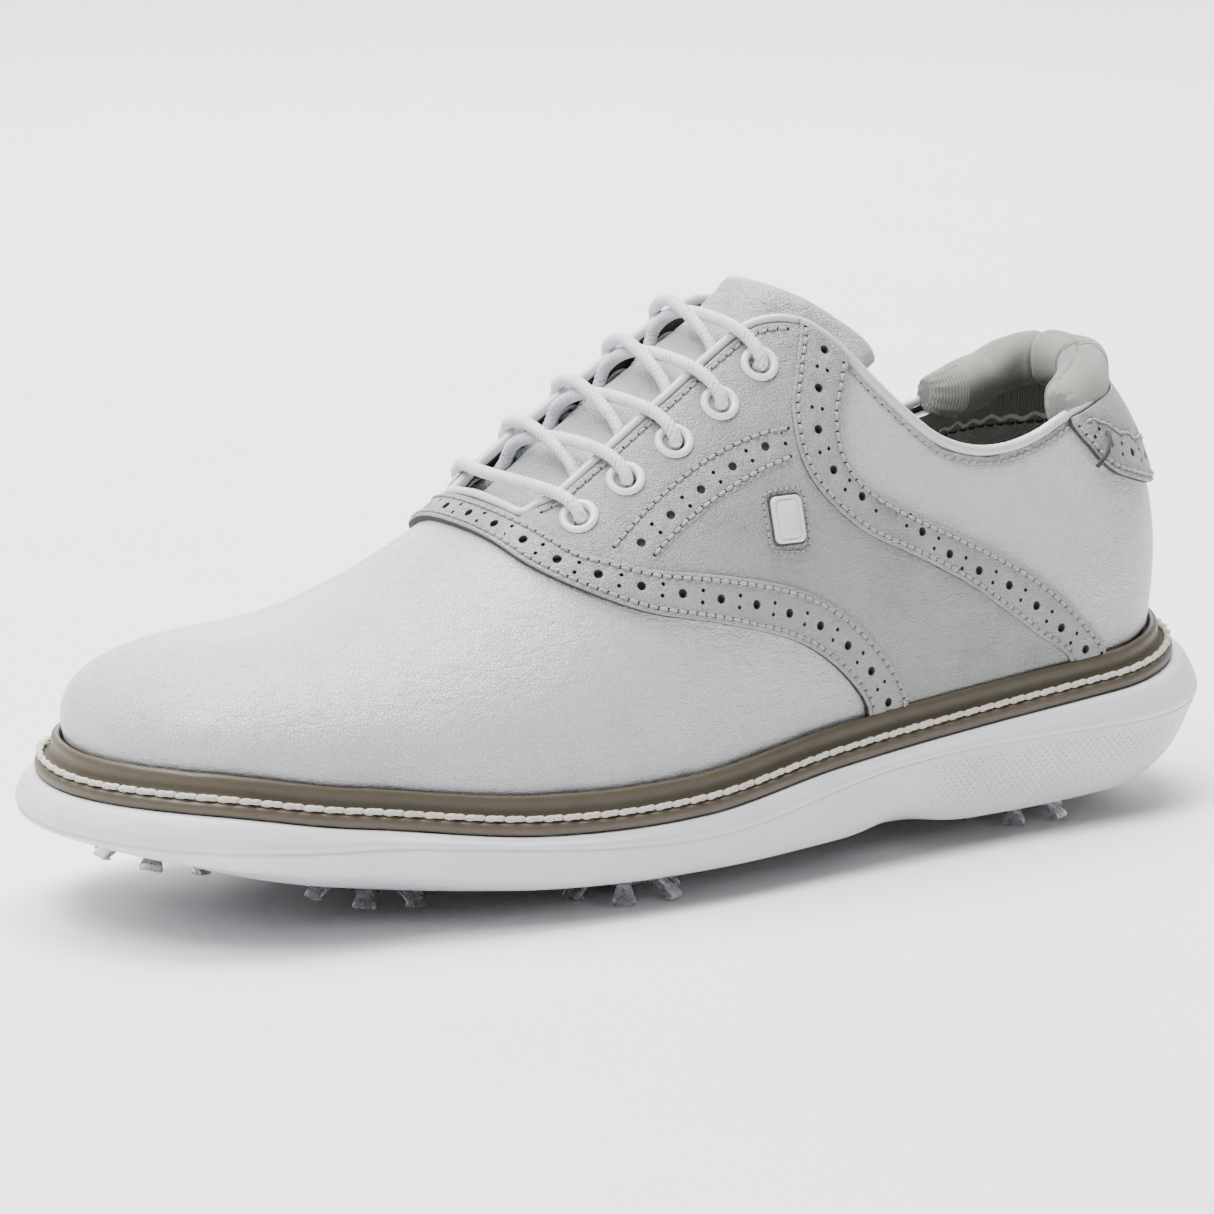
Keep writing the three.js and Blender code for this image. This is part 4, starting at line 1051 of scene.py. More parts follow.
def make_heel_tab():
    def chart(pairs):
        return stacked(pairs[:, 0], across_at(pairs[:, 1]) * SPREAD)

    def mirrored(pairs):
        """A lateral line of stations and shares, run on over the medial side."""
        pairs = np.asarray(pairs, dtype=float)
        other = np.column_stack([2 * HEEL_BACK - pairs[::-1, 0], pairs[::-1, 1]])
        return np.concatenate([pairs, other[1:]])

    def tab_line(inset, front):
        """A line a height share above the tab's lower edge, from its front corner back."""
        s = np.concatenate([np.linspace(front, 116, 30), np.linspace(117, HEEL_BACK, 40)])
        return mirrored([(x, smooth(HEEL_TAB_EDGE, x) + inset) for x in s])

    low = tab_line(0, 101.5)
    top = mirrored([(x, edge_height(x)) for x in np.linspace(101.5, HEEL_BACK, 60)])
    outline = np.concatenate([chart(low), chart(top)[::-1]])
    scallop = tab_line(0.155, 105.5)
    wave = 0.018 * np.abs(np.sin((scallop[:, 0] - 105.5) / 9.5 * math.pi))
    near = np.where(scallop[:, 0] > HEEL_BACK, 2 * HEEL_BACK - scallop[:, 0], scallop[:, 0])
    scallop[:, 1] = np.minimum(scallop[:, 1] - wave, edge_height(near) - 0.03)
    middle = chart(tab_line(0.085, 104))
    rows = [chart(tab_line(0.022, 103)), chart(scallop)]
    pricks = sewn(round_heel, rows, TAB_TOP)
    grey_panel("heel_tab", round_heel, outline, TAB_TOP,
               pits=[*brogue(round_heel, middle, pitch=4.6), *pricks], lines=rows, bevel=0.45,
               ripple=creased(41, 10, 0.06))


def make_vamp():
    rows, cols = 190, 150
    u, v = shares(rows, cols)
    across = lerp(-1, 1, v)
    station = lerp(TOE_TIP, smooth(VAMP_END, np.abs(across)), u)
    side = np.where(across < 0, LATERAL, MEDIAL)
    height = height_across(across)
    outer = upper(station, height, side, 0)
    low_side = ease((0.55 - height) / 0.35) * ease((station + 150) / 60)
    folds = -0.38 * np.clip(wander(outer * [1.0, 0.25, 0.12], 13, 51) - 0.2, 0, 1) * low_side
    outer = upper(station, height, side, folds + 0.1 * wander(outer, 22, 53))
    inner = upper(station, height, side, -1.3)
    skin = grid_faces(rows, cols)
    count = rows * cols
    faces = [*skin.tolist(), *(skin[:, ::-1] + count).tolist()]
    ids = np.arange(count).reshape(rows, cols)
    for edge in (ids[-1], ids[:, 0], ids[:, -1]):
        faces += [[a, b, b + count, a + count] for a, b in zip(edge[:-1], edge[1:])]
    piece("vamp_skin", np.concatenate([outer, inner]), faces, [VAMP],
          stands_for=["vamp", "toe_puff", "vamp_lining"], slot="white_leather", weld=True)


make_vamp()
make_front_band()
for name, side in SIDES.items():
    make_quarter(name, side)
    make_saddle(name, side)
    make_eyestay(name, side)
    make_rear_band(name, side)
make_heel_tab()


# ---------- sole ----------
def sole_loop(step):
    """Stations and sides once round the sole, from the toe back along the lateral side."""
    back = np.arange(TOE_TIP, HEEL_BACK, step)
    forth = np.arange(HEEL_BACK, TOE_TIP, -step)
    station = np.concatenate([back, forth])
    return station, np.concatenate([np.full(len(back), LATERAL), np.full(len(forth), MEDIAL)])


def spline(points, per):
    """Rounds a profile: points on a Catmull-Rom curve through it, the ends kept."""
    p = np.asarray(points)
    p = np.concatenate([[2 * p[0] - p[1]], p, [2 * p[-1] - p[-2]]])
    t = np.linspace(0, 1, per, endpoint=False).reshape(-1, *([1] * (p.ndim - 1)))
    out = []
    for a, b, c, d in zip(p[:-3], p[1:-2], p[2:-1], p[3:]):
        bend, twist = 2 * a - 5 * b + 4 * c - d, 3 * b - a - 3 * c + d
        out.append(0.5 * (2 * b + (c - a) * t + bend * t**2 + twist * t**3))
    return np.concatenate([*out, p[-2][None]])


def on_tread(points, rise):
    """The points moved up or down to a height over the tread."""
    points[:, 2] = tread_z(points[:, 0]) + rise
    return points


def make_midsole():
    station, side = sole_loop(1.4)
    r = welt_radius(station, side)
    flare, side_z = smooth(SIDE_FLARE, station), smooth(SIDE_Z, station)
    x, _, dx, _ = spine(station, side)
    # The heel breast: a scoop under the instep just ahead of the heel.
    breast = bell((x + dx * r - 42) / 11) * 2.7
    rim_z = smooth(RIM_Z, station) + breast
    inset = smooth(RIM_INSET, station) + breast * 0.6
    top = smooth(FEATHER_Z, station) - WELT_DEPTH
    crease = side_z + 0.9
    floor = tread_z(x + dx * (r - inset - TREAD_EDGE)) - 0.5

    outside = np.stack([
        stacked(r - 7.4, top), stacked(r - 3, top), stacked(r + 0.15 * flare, top - 0.05),
        stacked(r + 0.55 * flare, top - 0.9), stacked(r + 0.92 * flare, lerp(crease, top, 0.5)),
        stacked(r + 1.05 * flare, lerp(crease, top, 0.26)),
        stacked(r + 1.04 * flare, crease + 0.9), stacked(r + 0.92 * flare, crease),
        stacked(r + 0.9 * flare, crease - 1.3),
        stacked(r + 0.5 * flare - 0.28 * inset, lerp(side_z, rim_z, 0.64)),
        stacked(r + 0.15 * flare - 0.7 * inset, lerp(side_z, rim_z, 0.9)),
        stacked(r - inset - 0.9, lerp(rim_z, floor, 0.18)),
        stacked(r - inset - 4.2, lerp(rim_z, floor, 0.62)), stacked(r - inset - 7.6, floor + 0.15),
        stacked(r - inset - 9.6, floor - 0.15), stacked(r - inset - 11.2, floor + 0.5),
    ])
    profile = spline(outside, 6)
    outer = plan_point(station[None, :], side[None, :], profile[..., 0], profile[..., 1])
    puff = 0.18 * wander(outer, 30, 61)
    outer = outer + unit(outer - outer.mean(1, keepdims=True)) * puff[..., None] * [1, 1, 0]
    # Floor and top close over the middle of the sole.
    middle, core = (plan_point(station, side, reach, felt_z(station, side, reach) - 4.6)
                    for reach in (0 * r, r - 7.2))
    tread, centre = (on_tread(plan_point(station, side, reach, 0), 1.6)
                     for reach in (r - inset - TREAD_EDGE - 3.2, 0 * r))
    layers = np.concatenate([middle[None], core[None], outer, tread[None], centre[None]])
    run = lengths(outer[20])
    drop = np.linalg.norm(np.diff(layers, axis=0), axis=2).cumsum(0)
    drop = np.concatenate([np.zeros((1, len(station))), drop])
    low = (layers[..., 2] < side_z[None, :] - 1.2) & (layers[..., 2] > rim_z[None, :] + 1.2)
    flat = stacked(run[None, :], drop, low * ease((layers[..., 0] - 38) / 18))
    faces = grid_faces(len(layers), len(station), False, True)[:, ::-1]
    piece("midsole_foam_body", layers, faces, [FOAM], stands_for=["midsole"],
          slot="midsole_foam", flat=flat, sharp=60)


def cleat_frame(x, y):
    """Origin and axes of a cleat's seat: along, across and up."""
    slope = (tread_z(x + 1) - tread_z(x - 1)) / 2
    along_x = unit(np.array([1.0, 0.0, slope]))
    up = np.array([-along_x[2], 0.0, along_x[0]])
    return np.array([x, y, tread_z(x)]), np.stack([along_x, [0.0, 1.0, 0.0], up])


def lathe(profile, sides, closed=True):
    """Points and faces turned about the Z axis; profile is [radius, height] pairs."""
    profile = np.asarray(profile, dtype=float)
    radius, angle = profile[:, 0:1], turns(sides)
    points = stacked(radius * np.cos(angle), radius * np.sin(angle), profile[:, 1:2])
    return points.reshape(-1, 3), grid_faces(len(profile), sides, closed, True).tolist()


def joined(parts):
    """Points and faces of several parts as one."""
    points, faces, count = [], [], 0
    for p, f in parts:
        points.append(np.asarray(p).reshape(-1, 3))
        faces += [[v + count for v in face] for face in f]
        count += len(points[-1])
    return np.concatenate(points), faces


def bar(loops):
    """Points and faces of a solid lofted through closed loops, capped at both ends."""
    loops = np.asarray(loops)
    n, m = loops.shape[:2]
    faces = grid_faces(n, m, False, True).tolist()
    faces += caps(n, m)
    return loops.reshape(-1, 3), faces


SOLE_MIDDLE = (TOE_Y + HEEL_Y) / 2
LUG_STEP = (8.5, 10.5)
LUG_CLEARANCE = 19
CLEAT_ARMS = 6


def lug_reach(x, y):
    """How far from the sole's middle line a lug still stands on the plate."""
    station = np.clip(x, TOE_X, HEEL_X)
    reach = welt_radius(station, LATERAL if y < SOLE_MIDDLE else MEDIAL)
    reach = reach - smooth(RIM_INSET, station) - TREAD_EDGE - 9.5
    end = max(0.0, (TOE_X - x) / (TOE_FAN * 0.5), (x - HEEL_X) / (HEEL_FAN * 0.36))
    return reach * math.sqrt(max(0.0, 1 - end**2))


def lug(centre):
    """A low chevron on the tread."""
    loops = []
    for rise, w, length in ((-0.1, 1.5, 3.4), (-1.0, 1.25, 3.1), (-1.25, 0.95, 2.8)):
        shape = np.array([(-w, -length), (w, -length), (w + 1.3, 0), (w, length),
                          (-w, length), (-w + 1.3, 0)])
        loops.append(on_tread(in_space(centre + shape), rise)[::-1])
    return bar(loops)


def make_outsole():
    station, side = sole_loop(1.8)
    r = welt_radius(station, side) - smooth(RIM_INSET, station) - TREAD_EDGE - 2.6
    profile = [(0, 1.3), (0.5, 1.3), (1, 1.3), (1, -0.1), (0.985, -0.5), (0.96, -0.7),
               (0.9, -0.7), (0.885, -0.25), (0.8, -0.2), (0.6, -0.2), (0.4, -0.2), (0.2, -0.2),
               (0, -0.2)]
    layers = [on_tread(plan_point(station, side, r * share, 0), rise) for share, rise in profile]
    parts = [(np.array(layers),
              grid_faces(len(layers), len(station), False, True)[:, ::-1].tolist())]
    # Low chevron lugs over the plate, clear of the cleats.
    spots = np.array(CLEATS, dtype=float)
    for x in np.arange(-132, 124, LUG_STEP[0]):
        for y in np.arange(-44, 40, LUG_STEP[1]):
            centre = np.array([x, y + (5.2 if round(x / LUG_STEP[0]) % 2 else 0)])
            clear = np.linalg.norm(spots - centre, axis=1).min() >= LUG_CLEARANCE
            if clear and abs(centre[1] - SOLE_MIDDLE) <= lug_reach(*centre):
                parts.append(lug(centre))
    points, faces = joined(parts)
    piece("tread_plate", points, faces, [PLATE], stands_for=["outsole"], slot="clear_plastic",
          sharp=35)


def cleat_arm():
    """One flexing arm: it runs out and down, and ends in a flat foot."""
    t = np.linspace(0, 1, 12)
    reach = 6.4 + 6.3 * t**0.8 + 0.4 * t**3
    height = -2.3 - 3.1 * t**1.6
    loops = []
    for out, up, wide, thick in zip(reach, height, 1.55 + 1.1 * t**2, lerp(1.0, 0.78, t)):
        around = rounded_box(thick, wide, min(thick, wide) * 0.6, 4)
        loops.append(stacked(out + around[:, 0] * 0.75, around[:, 1], up + around[:, 0] * 0.55))
    foot = rounded_box(1.35, 2.75, 0.8, 4)
    loops.append(stacked(13.0 + foot[:, 0], foot[:, 1], -5.9))
    loops.append(stacked(13.05 + foot[:, 0] * 0.86, foot[:, 1] * 0.9, -6.27))
    return bar(loops)


def make_cleats():
    hub = spline([[0.0, -4.2], [3.6, -4.15], [4.4, -3.7], [6.6, -3.4], [8.6, -2.9], [9.6, -2.2],
                  [9.3, -1.3], [7.5, -1.0], [4.3, -1.0]], 4).tolist() + [[4.1, 3.3], [0, 3.4]]
    ring = spline([[2.6, -4.2], [2.9, -4.9], [3.5, -4.9], [3.8, -4.1]], 3)
    thread_profile = [[3.9 + 0.3 * (k % 2), -0.9 + 0.5 * k] for k in range(9)]
    parts = [lathe(hub, 60, False), lathe(ring, 36), lathe(thread_profile, 36)]
    arm = cleat_arm()
    groove = bar([[[4.6 + a * 3.4, w, -3.9 + 0.6 * a + d] for w, d in
                   ((-0.28, 0), (0.28, 0), (0.28, 0.5), (-0.28, 0.5))] for a in (0, 1)])
    for turn in np.arange(CLEAT_ARMS) * 2 * math.pi / CLEAT_ARMS:
        spin = np.array([[math.cos(turn), math.sin(turn), 0],
                         [-math.sin(turn), math.cos(turn), 0], [0, 0, 1]])
        parts += [(points @ spin, faces) for points, faces in (arm, groove)]
    points, faces = joined(parts)
    socket = spline([[8.5, 4.4], [8.6, -0.2], [8.3, -0.75], [7.4, -0.9], [6.2, -0.85],
                     [5.2, -0.7]], 4).tolist() + [[4.75, 3.9], [0.0, 3.9], [0.0, 5.5], [7.5, 5.5]]
    cup = lathe(socket, 56)
    for i, (x, y) in enumerate(CLEATS, 1):
        origin, axes = cleat_frame(x, y)
        piece(f"cleat_{i}_spike", origin + points @ axes, faces, [CLEAR], body=f"cleat_{i}",
              stands_for=[f"cleat_{i}"], slot="clear_plastic", sharp=38)
        piece(f"receptacle_{i}_cup", origin + cup[0] @ axes, cup[1], [SOCKET],
              stands_for=[f"cleat_receptacle_{i}"], slot="dark_plastic", sharp=38, weld=True)


def by_feather(dr, dz, step):
    """Points round the sole, out from the feather line and up from it."""
    station, side = (v[:, None] for v in sole_loop(step))
    return plan_point(station, side, welt_radius(station, side) + dr,
                      smooth(FEATHER_Z, station) + dz)


def make_welt():
    lip = spline([[-1.2, -7.8], [-0.1, -7.75], [0.35, -7.3], [0.45, -6.2], [0.1, -5.35],
                  [-0.7, -4.95], [-1.7, -4.7], [-2.6, -4.0], [-3.15, -2.6], [-3.2, -1.2],
                  [-3.5, -0.1], [-4.2, 0.45], [-5.0, 0.35], [-5.5, -0.5], [-5.8, -1.8]], 4)
    section = np.concatenate([lip, [[-6.8, -2.4], [-6.8, -7.8]]])
    points = by_feather(section[None, :, 0], section[None, :, 1], 1.3)
    points = points + 0.06 * wander(points, 11, 71)[..., None] * UPWARD
    piece("welt_rail", points, grid_faces(*points.shape[:2], True, True), [WELT],
          stands_for=["welt"], slot="welt_rubber", sharp=50)


WELT_STITCH_PITCH = 4.7


def make_welt_stitch():
    line, outer_line = (closed_up(by_feather(dr, dz, 0.8)[:, 0])
                        for dr, dz in ((-0.95, -4.15), (0.6, -3.4)))
    run = lengths(line)
    count = round(run[-1] / WELT_STITCH_PITCH)
    rows, sides = 15, 14
    t = np.linspace(-0.54, 0.54, rows)
    parts = []
    for k in range(count):
        at = (k + 0.5 + t) / count * run[-1] % run[-1]
        centre = read_off(line, run, at)
        out = read_off(outer_line, run, at) - centre
        forward = unit(np.gradient(centre, axis=0))
        out = unit(out - forward * (out * forward).sum(-1, keepdims=True))
        up = np.cross(forward, out)
        up = np.where(up[:, 2:3] < 0, -up, up)
        # Each stitch leans over its neighbour, like the lay of a rope.
        lean = t[:, None]
        centre = centre + up * (0.3 * lean) + out * (0.25 * np.cos(t * math.pi))[:, None]
        width = 0.84 * np.sqrt(np.maximum(0.03, 1 - (t / 0.57) ** 2))
        width = width * (1 + 0.04 * rng.normal())
        angle = turns(sides)
        ply = 1 + 0.2 * np.cos(2 * (angle[None, :] + t[:, None] * 4.2))
        size = (width[:, None] * ply)[..., None]
        ring = (out[:, None] * np.cos(angle)[None, :, None]
                + up[:, None] * 0.86 * np.sin(angle)[None, :, None])
        parts.append(bar(centre[:, None] + ring * size))
    points, faces = joined(parts)
    piece("welt_rope_stitch", points, faces, [WELT_THREAD], stands_for=["welt_stitch"],
          slot="thread", sharp=80)


def make_inner_sole():
    for name, inset, low, high, look, slot, stands in (
        ("insole_board_layer", 7.6, -4.2, -2.2, BOARD, "fibre_board", ["insole_board"]),
        ("sockliner_pad", 11.6, -1.8, 2.2, SOCK, "lining_fabric", ["sockliner"]),
    ):
        station, side = sole_loop(2.0)
        r = welt_radius(station, side) - inset
        rows = [(0.0, high), (0.3, high), (0.6, high), (0.85, high + 0.3), (0.97, high + 0.5),
                (1.0, high - 0.1), (1.0, low + 0.2), (0.98, low), (0.5, low), (0.0, low)]
        layers = np.array([
            plan_point(station, side, r * share, felt_z(station, side, r * share) + rise)
            for share, rise in rows
        ])
        faces = grid_faces(len(rows), len(station), False, True)[:, ::-1]
        piece(name, layers, faces, [look], stands_for=stands, slot=slot, flat=layers[..., :2],
              sharp=50)
    u, v = shares(30, 9)
    across = lerp(-1, 1, v)
    x = lerp(-12, 84, u)
    y = spine(x, LATERAL)[1] + 7 * across
    top, low = (stacked(x, y, smooth(FEATHER_Z, x) + rise + 0.5 * across**2)
                for rise in (-5.0, -6.6))
    points, faces = slab_of(top, low)
    piece("shank_plate", points, faces, [STEEL], stands_for=["shank"], slot="steel")


def slab_of(top, low):
    """A closed slab between two grids of points."""
    rows, cols = top.shape[:2]
    count = rows * cols
    skin = grid_faces(rows, cols)
    faces = [*skin[:, ::-1].tolist(), *(skin + count).tolist()]
    ids = np.arange(count).reshape(rows, cols)
    rim = np.concatenate([ids[0, :-1], ids[:-1, -1], ids[-1, :0:-1], ids[:0:-1, 0]])
    faces += [[int(a), int(b), int(b + count), int(a + count)]
              for a, b in zip(rim, np.roll(rim, -1))]
    return np.concatenate([top.reshape(-1, 3), low.reshape(-1, 3)]), faces


make_midsole()
make_outsole()
make_cleats()
make_welt()
make_welt_stitch()
make_inner_sole()


# ---------- collar, linings and tongue ----------
def round_the_back(rows, cols, front, power):
    """Stations, sides and the share up of a strip that runs round the heel, front to front."""
    u, v = shares(rows, cols)
    away = 2 * u - 1
    station = lerp(HEEL_BACK, front, np.abs(away) ** power) + 0 * v
    return station, np.where(away < 0, LATERAL, MEDIAL) + 0 * v, v


def cloth_flat(outer, v, height):
    """Flat coordinates for both faces of a strip of cloth."""
    run = stacked(lengths(outer[:, 12])[:, None], v * height)
    return np.tile(run.reshape(-1, 2), (2, 1))


def make_linings():
    station, side, v = round_the_back(240, 24, -122, 1.3)
    high = np.where(station < -28, lerp(0.6, smooth(LINING_TOP, -28), ease((station + 60) / 32)),
                    smooth(LINING_TOP, station))
    height = lerp(0.01, high, v)
    outer = upper(station, height, side, -3.9)
    inner = upper(station, height, side, -5.0 + 0.12 * wander(outer, 12, 81))
    points, faces = slab_of(outer, inner)
    piece("quarter_lining_cloth", points, faces, [LINING], stands_for=["quarter_lining"],
          slot="lining_fabric", flat=cloth_flat(outer, v, 40), sharp=50)
    station, side, v = round_the_back(240, 24, 70, 1.4)
    height = lerp(0.03, 0.38, v)
    points, faces = slab_of(*(upper(station, height, side, depth) for depth in (-2.1, -3.1)))
    piece("heel_counter_board", points, faces, [BOARD], stands_for=["heel_counter"],
          slot="fibre_board", sharp=50)


PAD_FRONTS = {LATERAL: 101, MEDIAL: 92}


def make_collar_pad():
    rows, sides = 420, 48
    u, _ = shares(rows, 1)
    angle = turns(sides)[None, :]
    away = np.abs(2 * u - 1)
    side = np.where(u < 0.5, LATERAL, MEDIAL)
    station = lerp(HEEL_BACK, np.where(u < 0.5, *PAD_FRONTS.values()), away)
    full = np.sqrt(np.clip((1 - away) / 0.08, 0.0, 1))
    tall = 6.6 * lerp(0.45, 1, full)
    thick = 6.4 * lerp(0.35, 1, full)
    lift = lerp(6.4, 9.8, ease((1 - away) / 0.6))
    seat = edge_height(station) - 0.02
    centre = upper(station, seat, side, -1.2 - thick) + lift[..., None] * UPWARD
    outward = unit(upper(station, seat, side, 0.0) - upper(station, seat, side, -3.0))
    outward = unit(outward * [1, 1, 0.25])
    rise = UPWARD - outward * outward[..., 2:3]
    cos = np.sign(np.cos(angle)) * np.abs(np.cos(angle)) ** 0.86
    sin = np.sign(np.sin(angle)) * np.abs(np.sin(angle)) ** 0.86
    arm = outward * (thick * sin)[..., None] + rise * (tall * cos)[..., None]
    first = centre + arm
    # The cloth's ribs are in its material; puckers and two folds break the roll's sweep.
    pucker = 0.4 * wander(first * [1.0, 1.0, 0.3], 12, 91) * full
    fold_a = -1.0 * np.exp(-(((u - 0.30) * 30 + 0.6 * np.sin(angle)) ** 2) * 3)
    fold_b = -0.6 * np.exp(-(((u - 0.64) * 30 - 0.5 * np.sin(angle)) ** 2) * 4)
    gather = 0.25 * np.sin(angle * 11) * bell((1 - away) / 0.05)
    points = first + unit(arm) * (pucker + fold_a + fold_b + gather)[..., None]
    faces = grid_faces(rows, sides, False, True).tolist()
    faces += caps(rows, sides)
    pad = piece("collar_roll", points, faces, [PAD_CLOTH], stands_for=["collar_pad"],
                slot="lining_fabric", flat=stacked(lengths(centre[:, 0])[:, None], angle * 7),
                sharp=80)


def cloth_drop(station):
    """How far the collar's cloth band hangs below the topline, as a height share."""
    return lerp(0.06, 0.135, ease((station - 70) / 60))


def make_collar_lining():
    """The lining from the quarter lining up to the topline, and the cloth band under the roll."""
    station, side, v = round_the_back(260, 26, 40, 1.2)
    height = lerp(smooth(LINING_TOP, station) - 0.02, edge_height(station) - 0.008, v)
    outer = upper(station, height, side, -1.7)
    inner = upper(station, height, side, -3.0 + 0.3 * wander(outer, 13, 83))
    points, faces = slab_of(outer, inner)
    piece("upper_lining_cloth", points, faces, [LINING], slot="lining_fabric",
          flat=cloth_flat(outer, v, 30), sharp=50)
    rows, cols = 700, 9
    station, side, v = round_the_back(rows, cols, 58, 1.1)
    along_edge = lengths(upper(station, edge_height(station), side, -3)[:, 0])[:, None]
    wave = 0.008 * np.sin(along_edge / 4.6 * 2 * math.pi) + 0.004 * np.sin(along_edge / 1.7)
    near_end = 1 - np.abs(2 * shares(rows, 1)[0] - 1)
    drop = (cloth_drop(station) + wave) * lerp(0.25, 1, ease(near_end / 0.12))
    height = edge_height(station) - 0.004 - drop * v
    curl = 0.5 * ease((v - 0.7) / 0.3)
    outer = upper(station, height, side, -3.15 - curl)
    inner = upper(station, height, side, -4.0 - curl - 0.3 * np.sin(math.pi * v))
    points, faces = slab_of(outer, inner)
    rim = np.tile(np.arange(cols - 1) == cols - 2, rows - 1)
    rest = np.ones(len(faces) - 2 * len(rim), dtype=bool)
    picks = np.concatenate([rim, rim, rest]).astype(int)
    run = stacked(along_edge, v * 10).reshape(-1, 2)
    piece("collar_cloth_band", points, faces, [PAD_CLOTH, RAW_LINING], slot="lining_fabric",
          picks=picks, flat=np.tile(run, (2, 1)), sharp=50)
    lining_seams = Sewing()
    s = np.linspace(60, HEEL_BACK - 1, 120)
    row = stacked(s, edge_height(s) - cloth_drop(s) - 0.03)
    for side in SIDES.values():
        lining_seams.run(
            lambda plane, offset: upper(plane[..., 0], plane[..., 1], side, offset),
            row, 3.0, -3.35, radius=0.28, inward=True,
        )
    lining_seams.make("lining_stitch", EDGE, "thread")


def piped_edge(station, side):
    """Where the piping's middle runs: a little beyond the upper's top edge."""
    height = smooth(TOP_EDGE, station)
    edge = upper(station, height, side, 0.2)
    return edge + unit(upper(station, height + 0.01, side, 0.2) - edge) * 0.75


def make_piping():
    stations = np.array([-41, -37, -30, -18, -6, 6, 15, 22, 28, 33, 38, 44, 51, 60, 70, 80, 90,
                         100, 110, 122, 135, 150], dtype=float)
    near, far = (piped_edge(stations, side) for side in SIDES.values())
    heel = piped_edge(np.array([HEEL_BACK]), LATERAL)
    # The throat's end is a flat U with rounded corners.
    bend = [upper([-44.9, -43.7], height_across(np.array([0.11, 0.19])), side, 0.45)
            for side in SIDES.values()]
    throat = upper(-45.2, 1.0, LATERAL, 0.6)[None]
    path = np.concatenate([throat, bend[0], near, heel, far[::-1], bend[1][::-1]])
    pleat = lambda angle, run: 1 + 0.02 * np.sin(run * 1.7) + 0.015 * np.sin(run * 4.1 + angle)
    points, faces, flat = tube(path, 1.25, 18, 0.9, True, pleat)
    piece("topline_piping_roll", points, faces, [PIPING], stands_for=["topline_piping"],
          slot="white_leather", flat=flat, sharp=80)


def tongue_place(u, v, offset):
    """The tongue's own chart: u from its sewn end to its tip, v from the lateral side over."""
    half_width = lerp(0.3, 0.42, np.clip(u * 2.5, 0, 1)) + 0.04 * ease((u - 0.7) / 0.3)
    across = (2 * v - 1) * half_width
    wide = np.abs(2 * v - 1)
    corner = wide**2 * (1 - 0.62 * ease((wide - 0.74) / 0.26))
    station = lerp(-57, 29, u) + 37 * corner * u**3
    lift = 3.5 * ease((u - 0.78) / 0.22) + 3.4 * wide**2 * ease((u - 0.68) / 0.32)
    lift = lift - 2.4 * np.clip((u - 0.93) / 0.07, 0, 1) ** 2
    side = np.where(across < 0, LATERAL, MEDIAL)
    return upper(station, height_across(across), side, offset + lift)


def quilt(rows, cols, low, high, puff, seed, fold):
    """A layer of the tongue: rounded edges, a padded middle and wandering folds."""
    u, v = np.broadcast_arrays(*shares(rows, cols))
    edge = np.minimum(np.minimum(v, 1 - v) * 2, (1 - u) * 2.5)
    plump = np.sqrt(np.clip(edge / 0.18, 0, 1)) * (1 - 0.2 * np.clip(edge, 0, 1))
    middle, half = (low + high) / 2, (high - low) / 2
    outer = tongue_place(u, v, middle)
    wrinkle = fold * wander(outer * [1.0, 0.5, 1.0], 8, seed) * plump
    wrinkle = wrinkle + 0.4 * fold * wander(outer, 3.2, seed + 1) * plump
    top = tongue_place(u, v, middle + half * plump + puff * plump + wrinkle)
    points, faces = slab_of(tongue_place(u, v, middle - half * plump), top)
    return points, faces, np.tile(stacked(u * 95, v * 60).reshape(-1, 2), (2, 1))


def make_tongue():
    points, faces, flat = quilt(150, 76, -7.4, -5.9, 1.0, 101, 0.22)
    piece("tongue_skin", points, faces, [TONGUE], body="tongue", stands_for=["tongue"],
          slot="grey_leather", flat=flat, sharp=60)
    points, faces, flat = quilt(120, 64, -10.4, -7.7, 0.0, 107, 0.15)
    lining = piece("tongue_padding", points, faces, [PAD_CLOTH], body="tongue",
                   stands_for=["tongue_lining"], slot="lining_fabric", flat=flat, sharp=60)


make_linings()
make_collar_pad()
make_collar_lining()
make_piping()
make_tongue()


# ---------- eyelets, laces, badge and loop ----------
def make_eyelets():
    profile = spline([[2.55, -2.0], [2.55, 1.0], [2.72, 1.65], [3.2, 2.1], [3.85, 2.08],
                      [4.38, 1.65], [4.45, 1.3], [4.0, 1.15]], 5).tolist()
    profile += [[3.0, 1.1], [3.0, -1.6], [3.7, -1.9], [3.6, -2.2]]
    ring, faces = lathe(profile, 48)
    for name, side in SIDES.items():
        for k, (station, height) in enumerate(EYELETS):
            origin, right, _, out = face_frame(station, height, side)
            axes = np.stack([right, np.cross(out, right), out])
            node_name = f"eyelet_{name}_{k + 1}"
            piece(node_name + "_ring", origin + ring @ axes, faces, [GLOSS],
                  stands_for=[node_name], slot="white_plastic", sharp=45)


CROSS_OVER = {LATERAL: 2.3, MEDIAL: -0.7}
LACE_HIGH, LACE_UNDER = {LATERAL: 3.5, MEDIAL: 3.0}, -4.1
LACE_RADIUS, BRAID_PITCH = 1.45, 1.3


def braid(angle, run):
    """Strand height on a braided cord, 0 to 1: ribs that zigzag between columns round it."""
    zigzag = np.arcsin(np.sin(4 * angle)) * 2 / math.pi
    rib = np.abs(np.sin(run * math.pi / BRAID_PITCH + 1.25 * zigzag)) ** 0.7
    return rib * (1 - 0.4 * np.abs(zigzag) ** 6)


def lace_points(row, side, table):
    station, height = EYELETS[row]
    return [upper(station + a, height + h, side, o) for a, h, o in table]


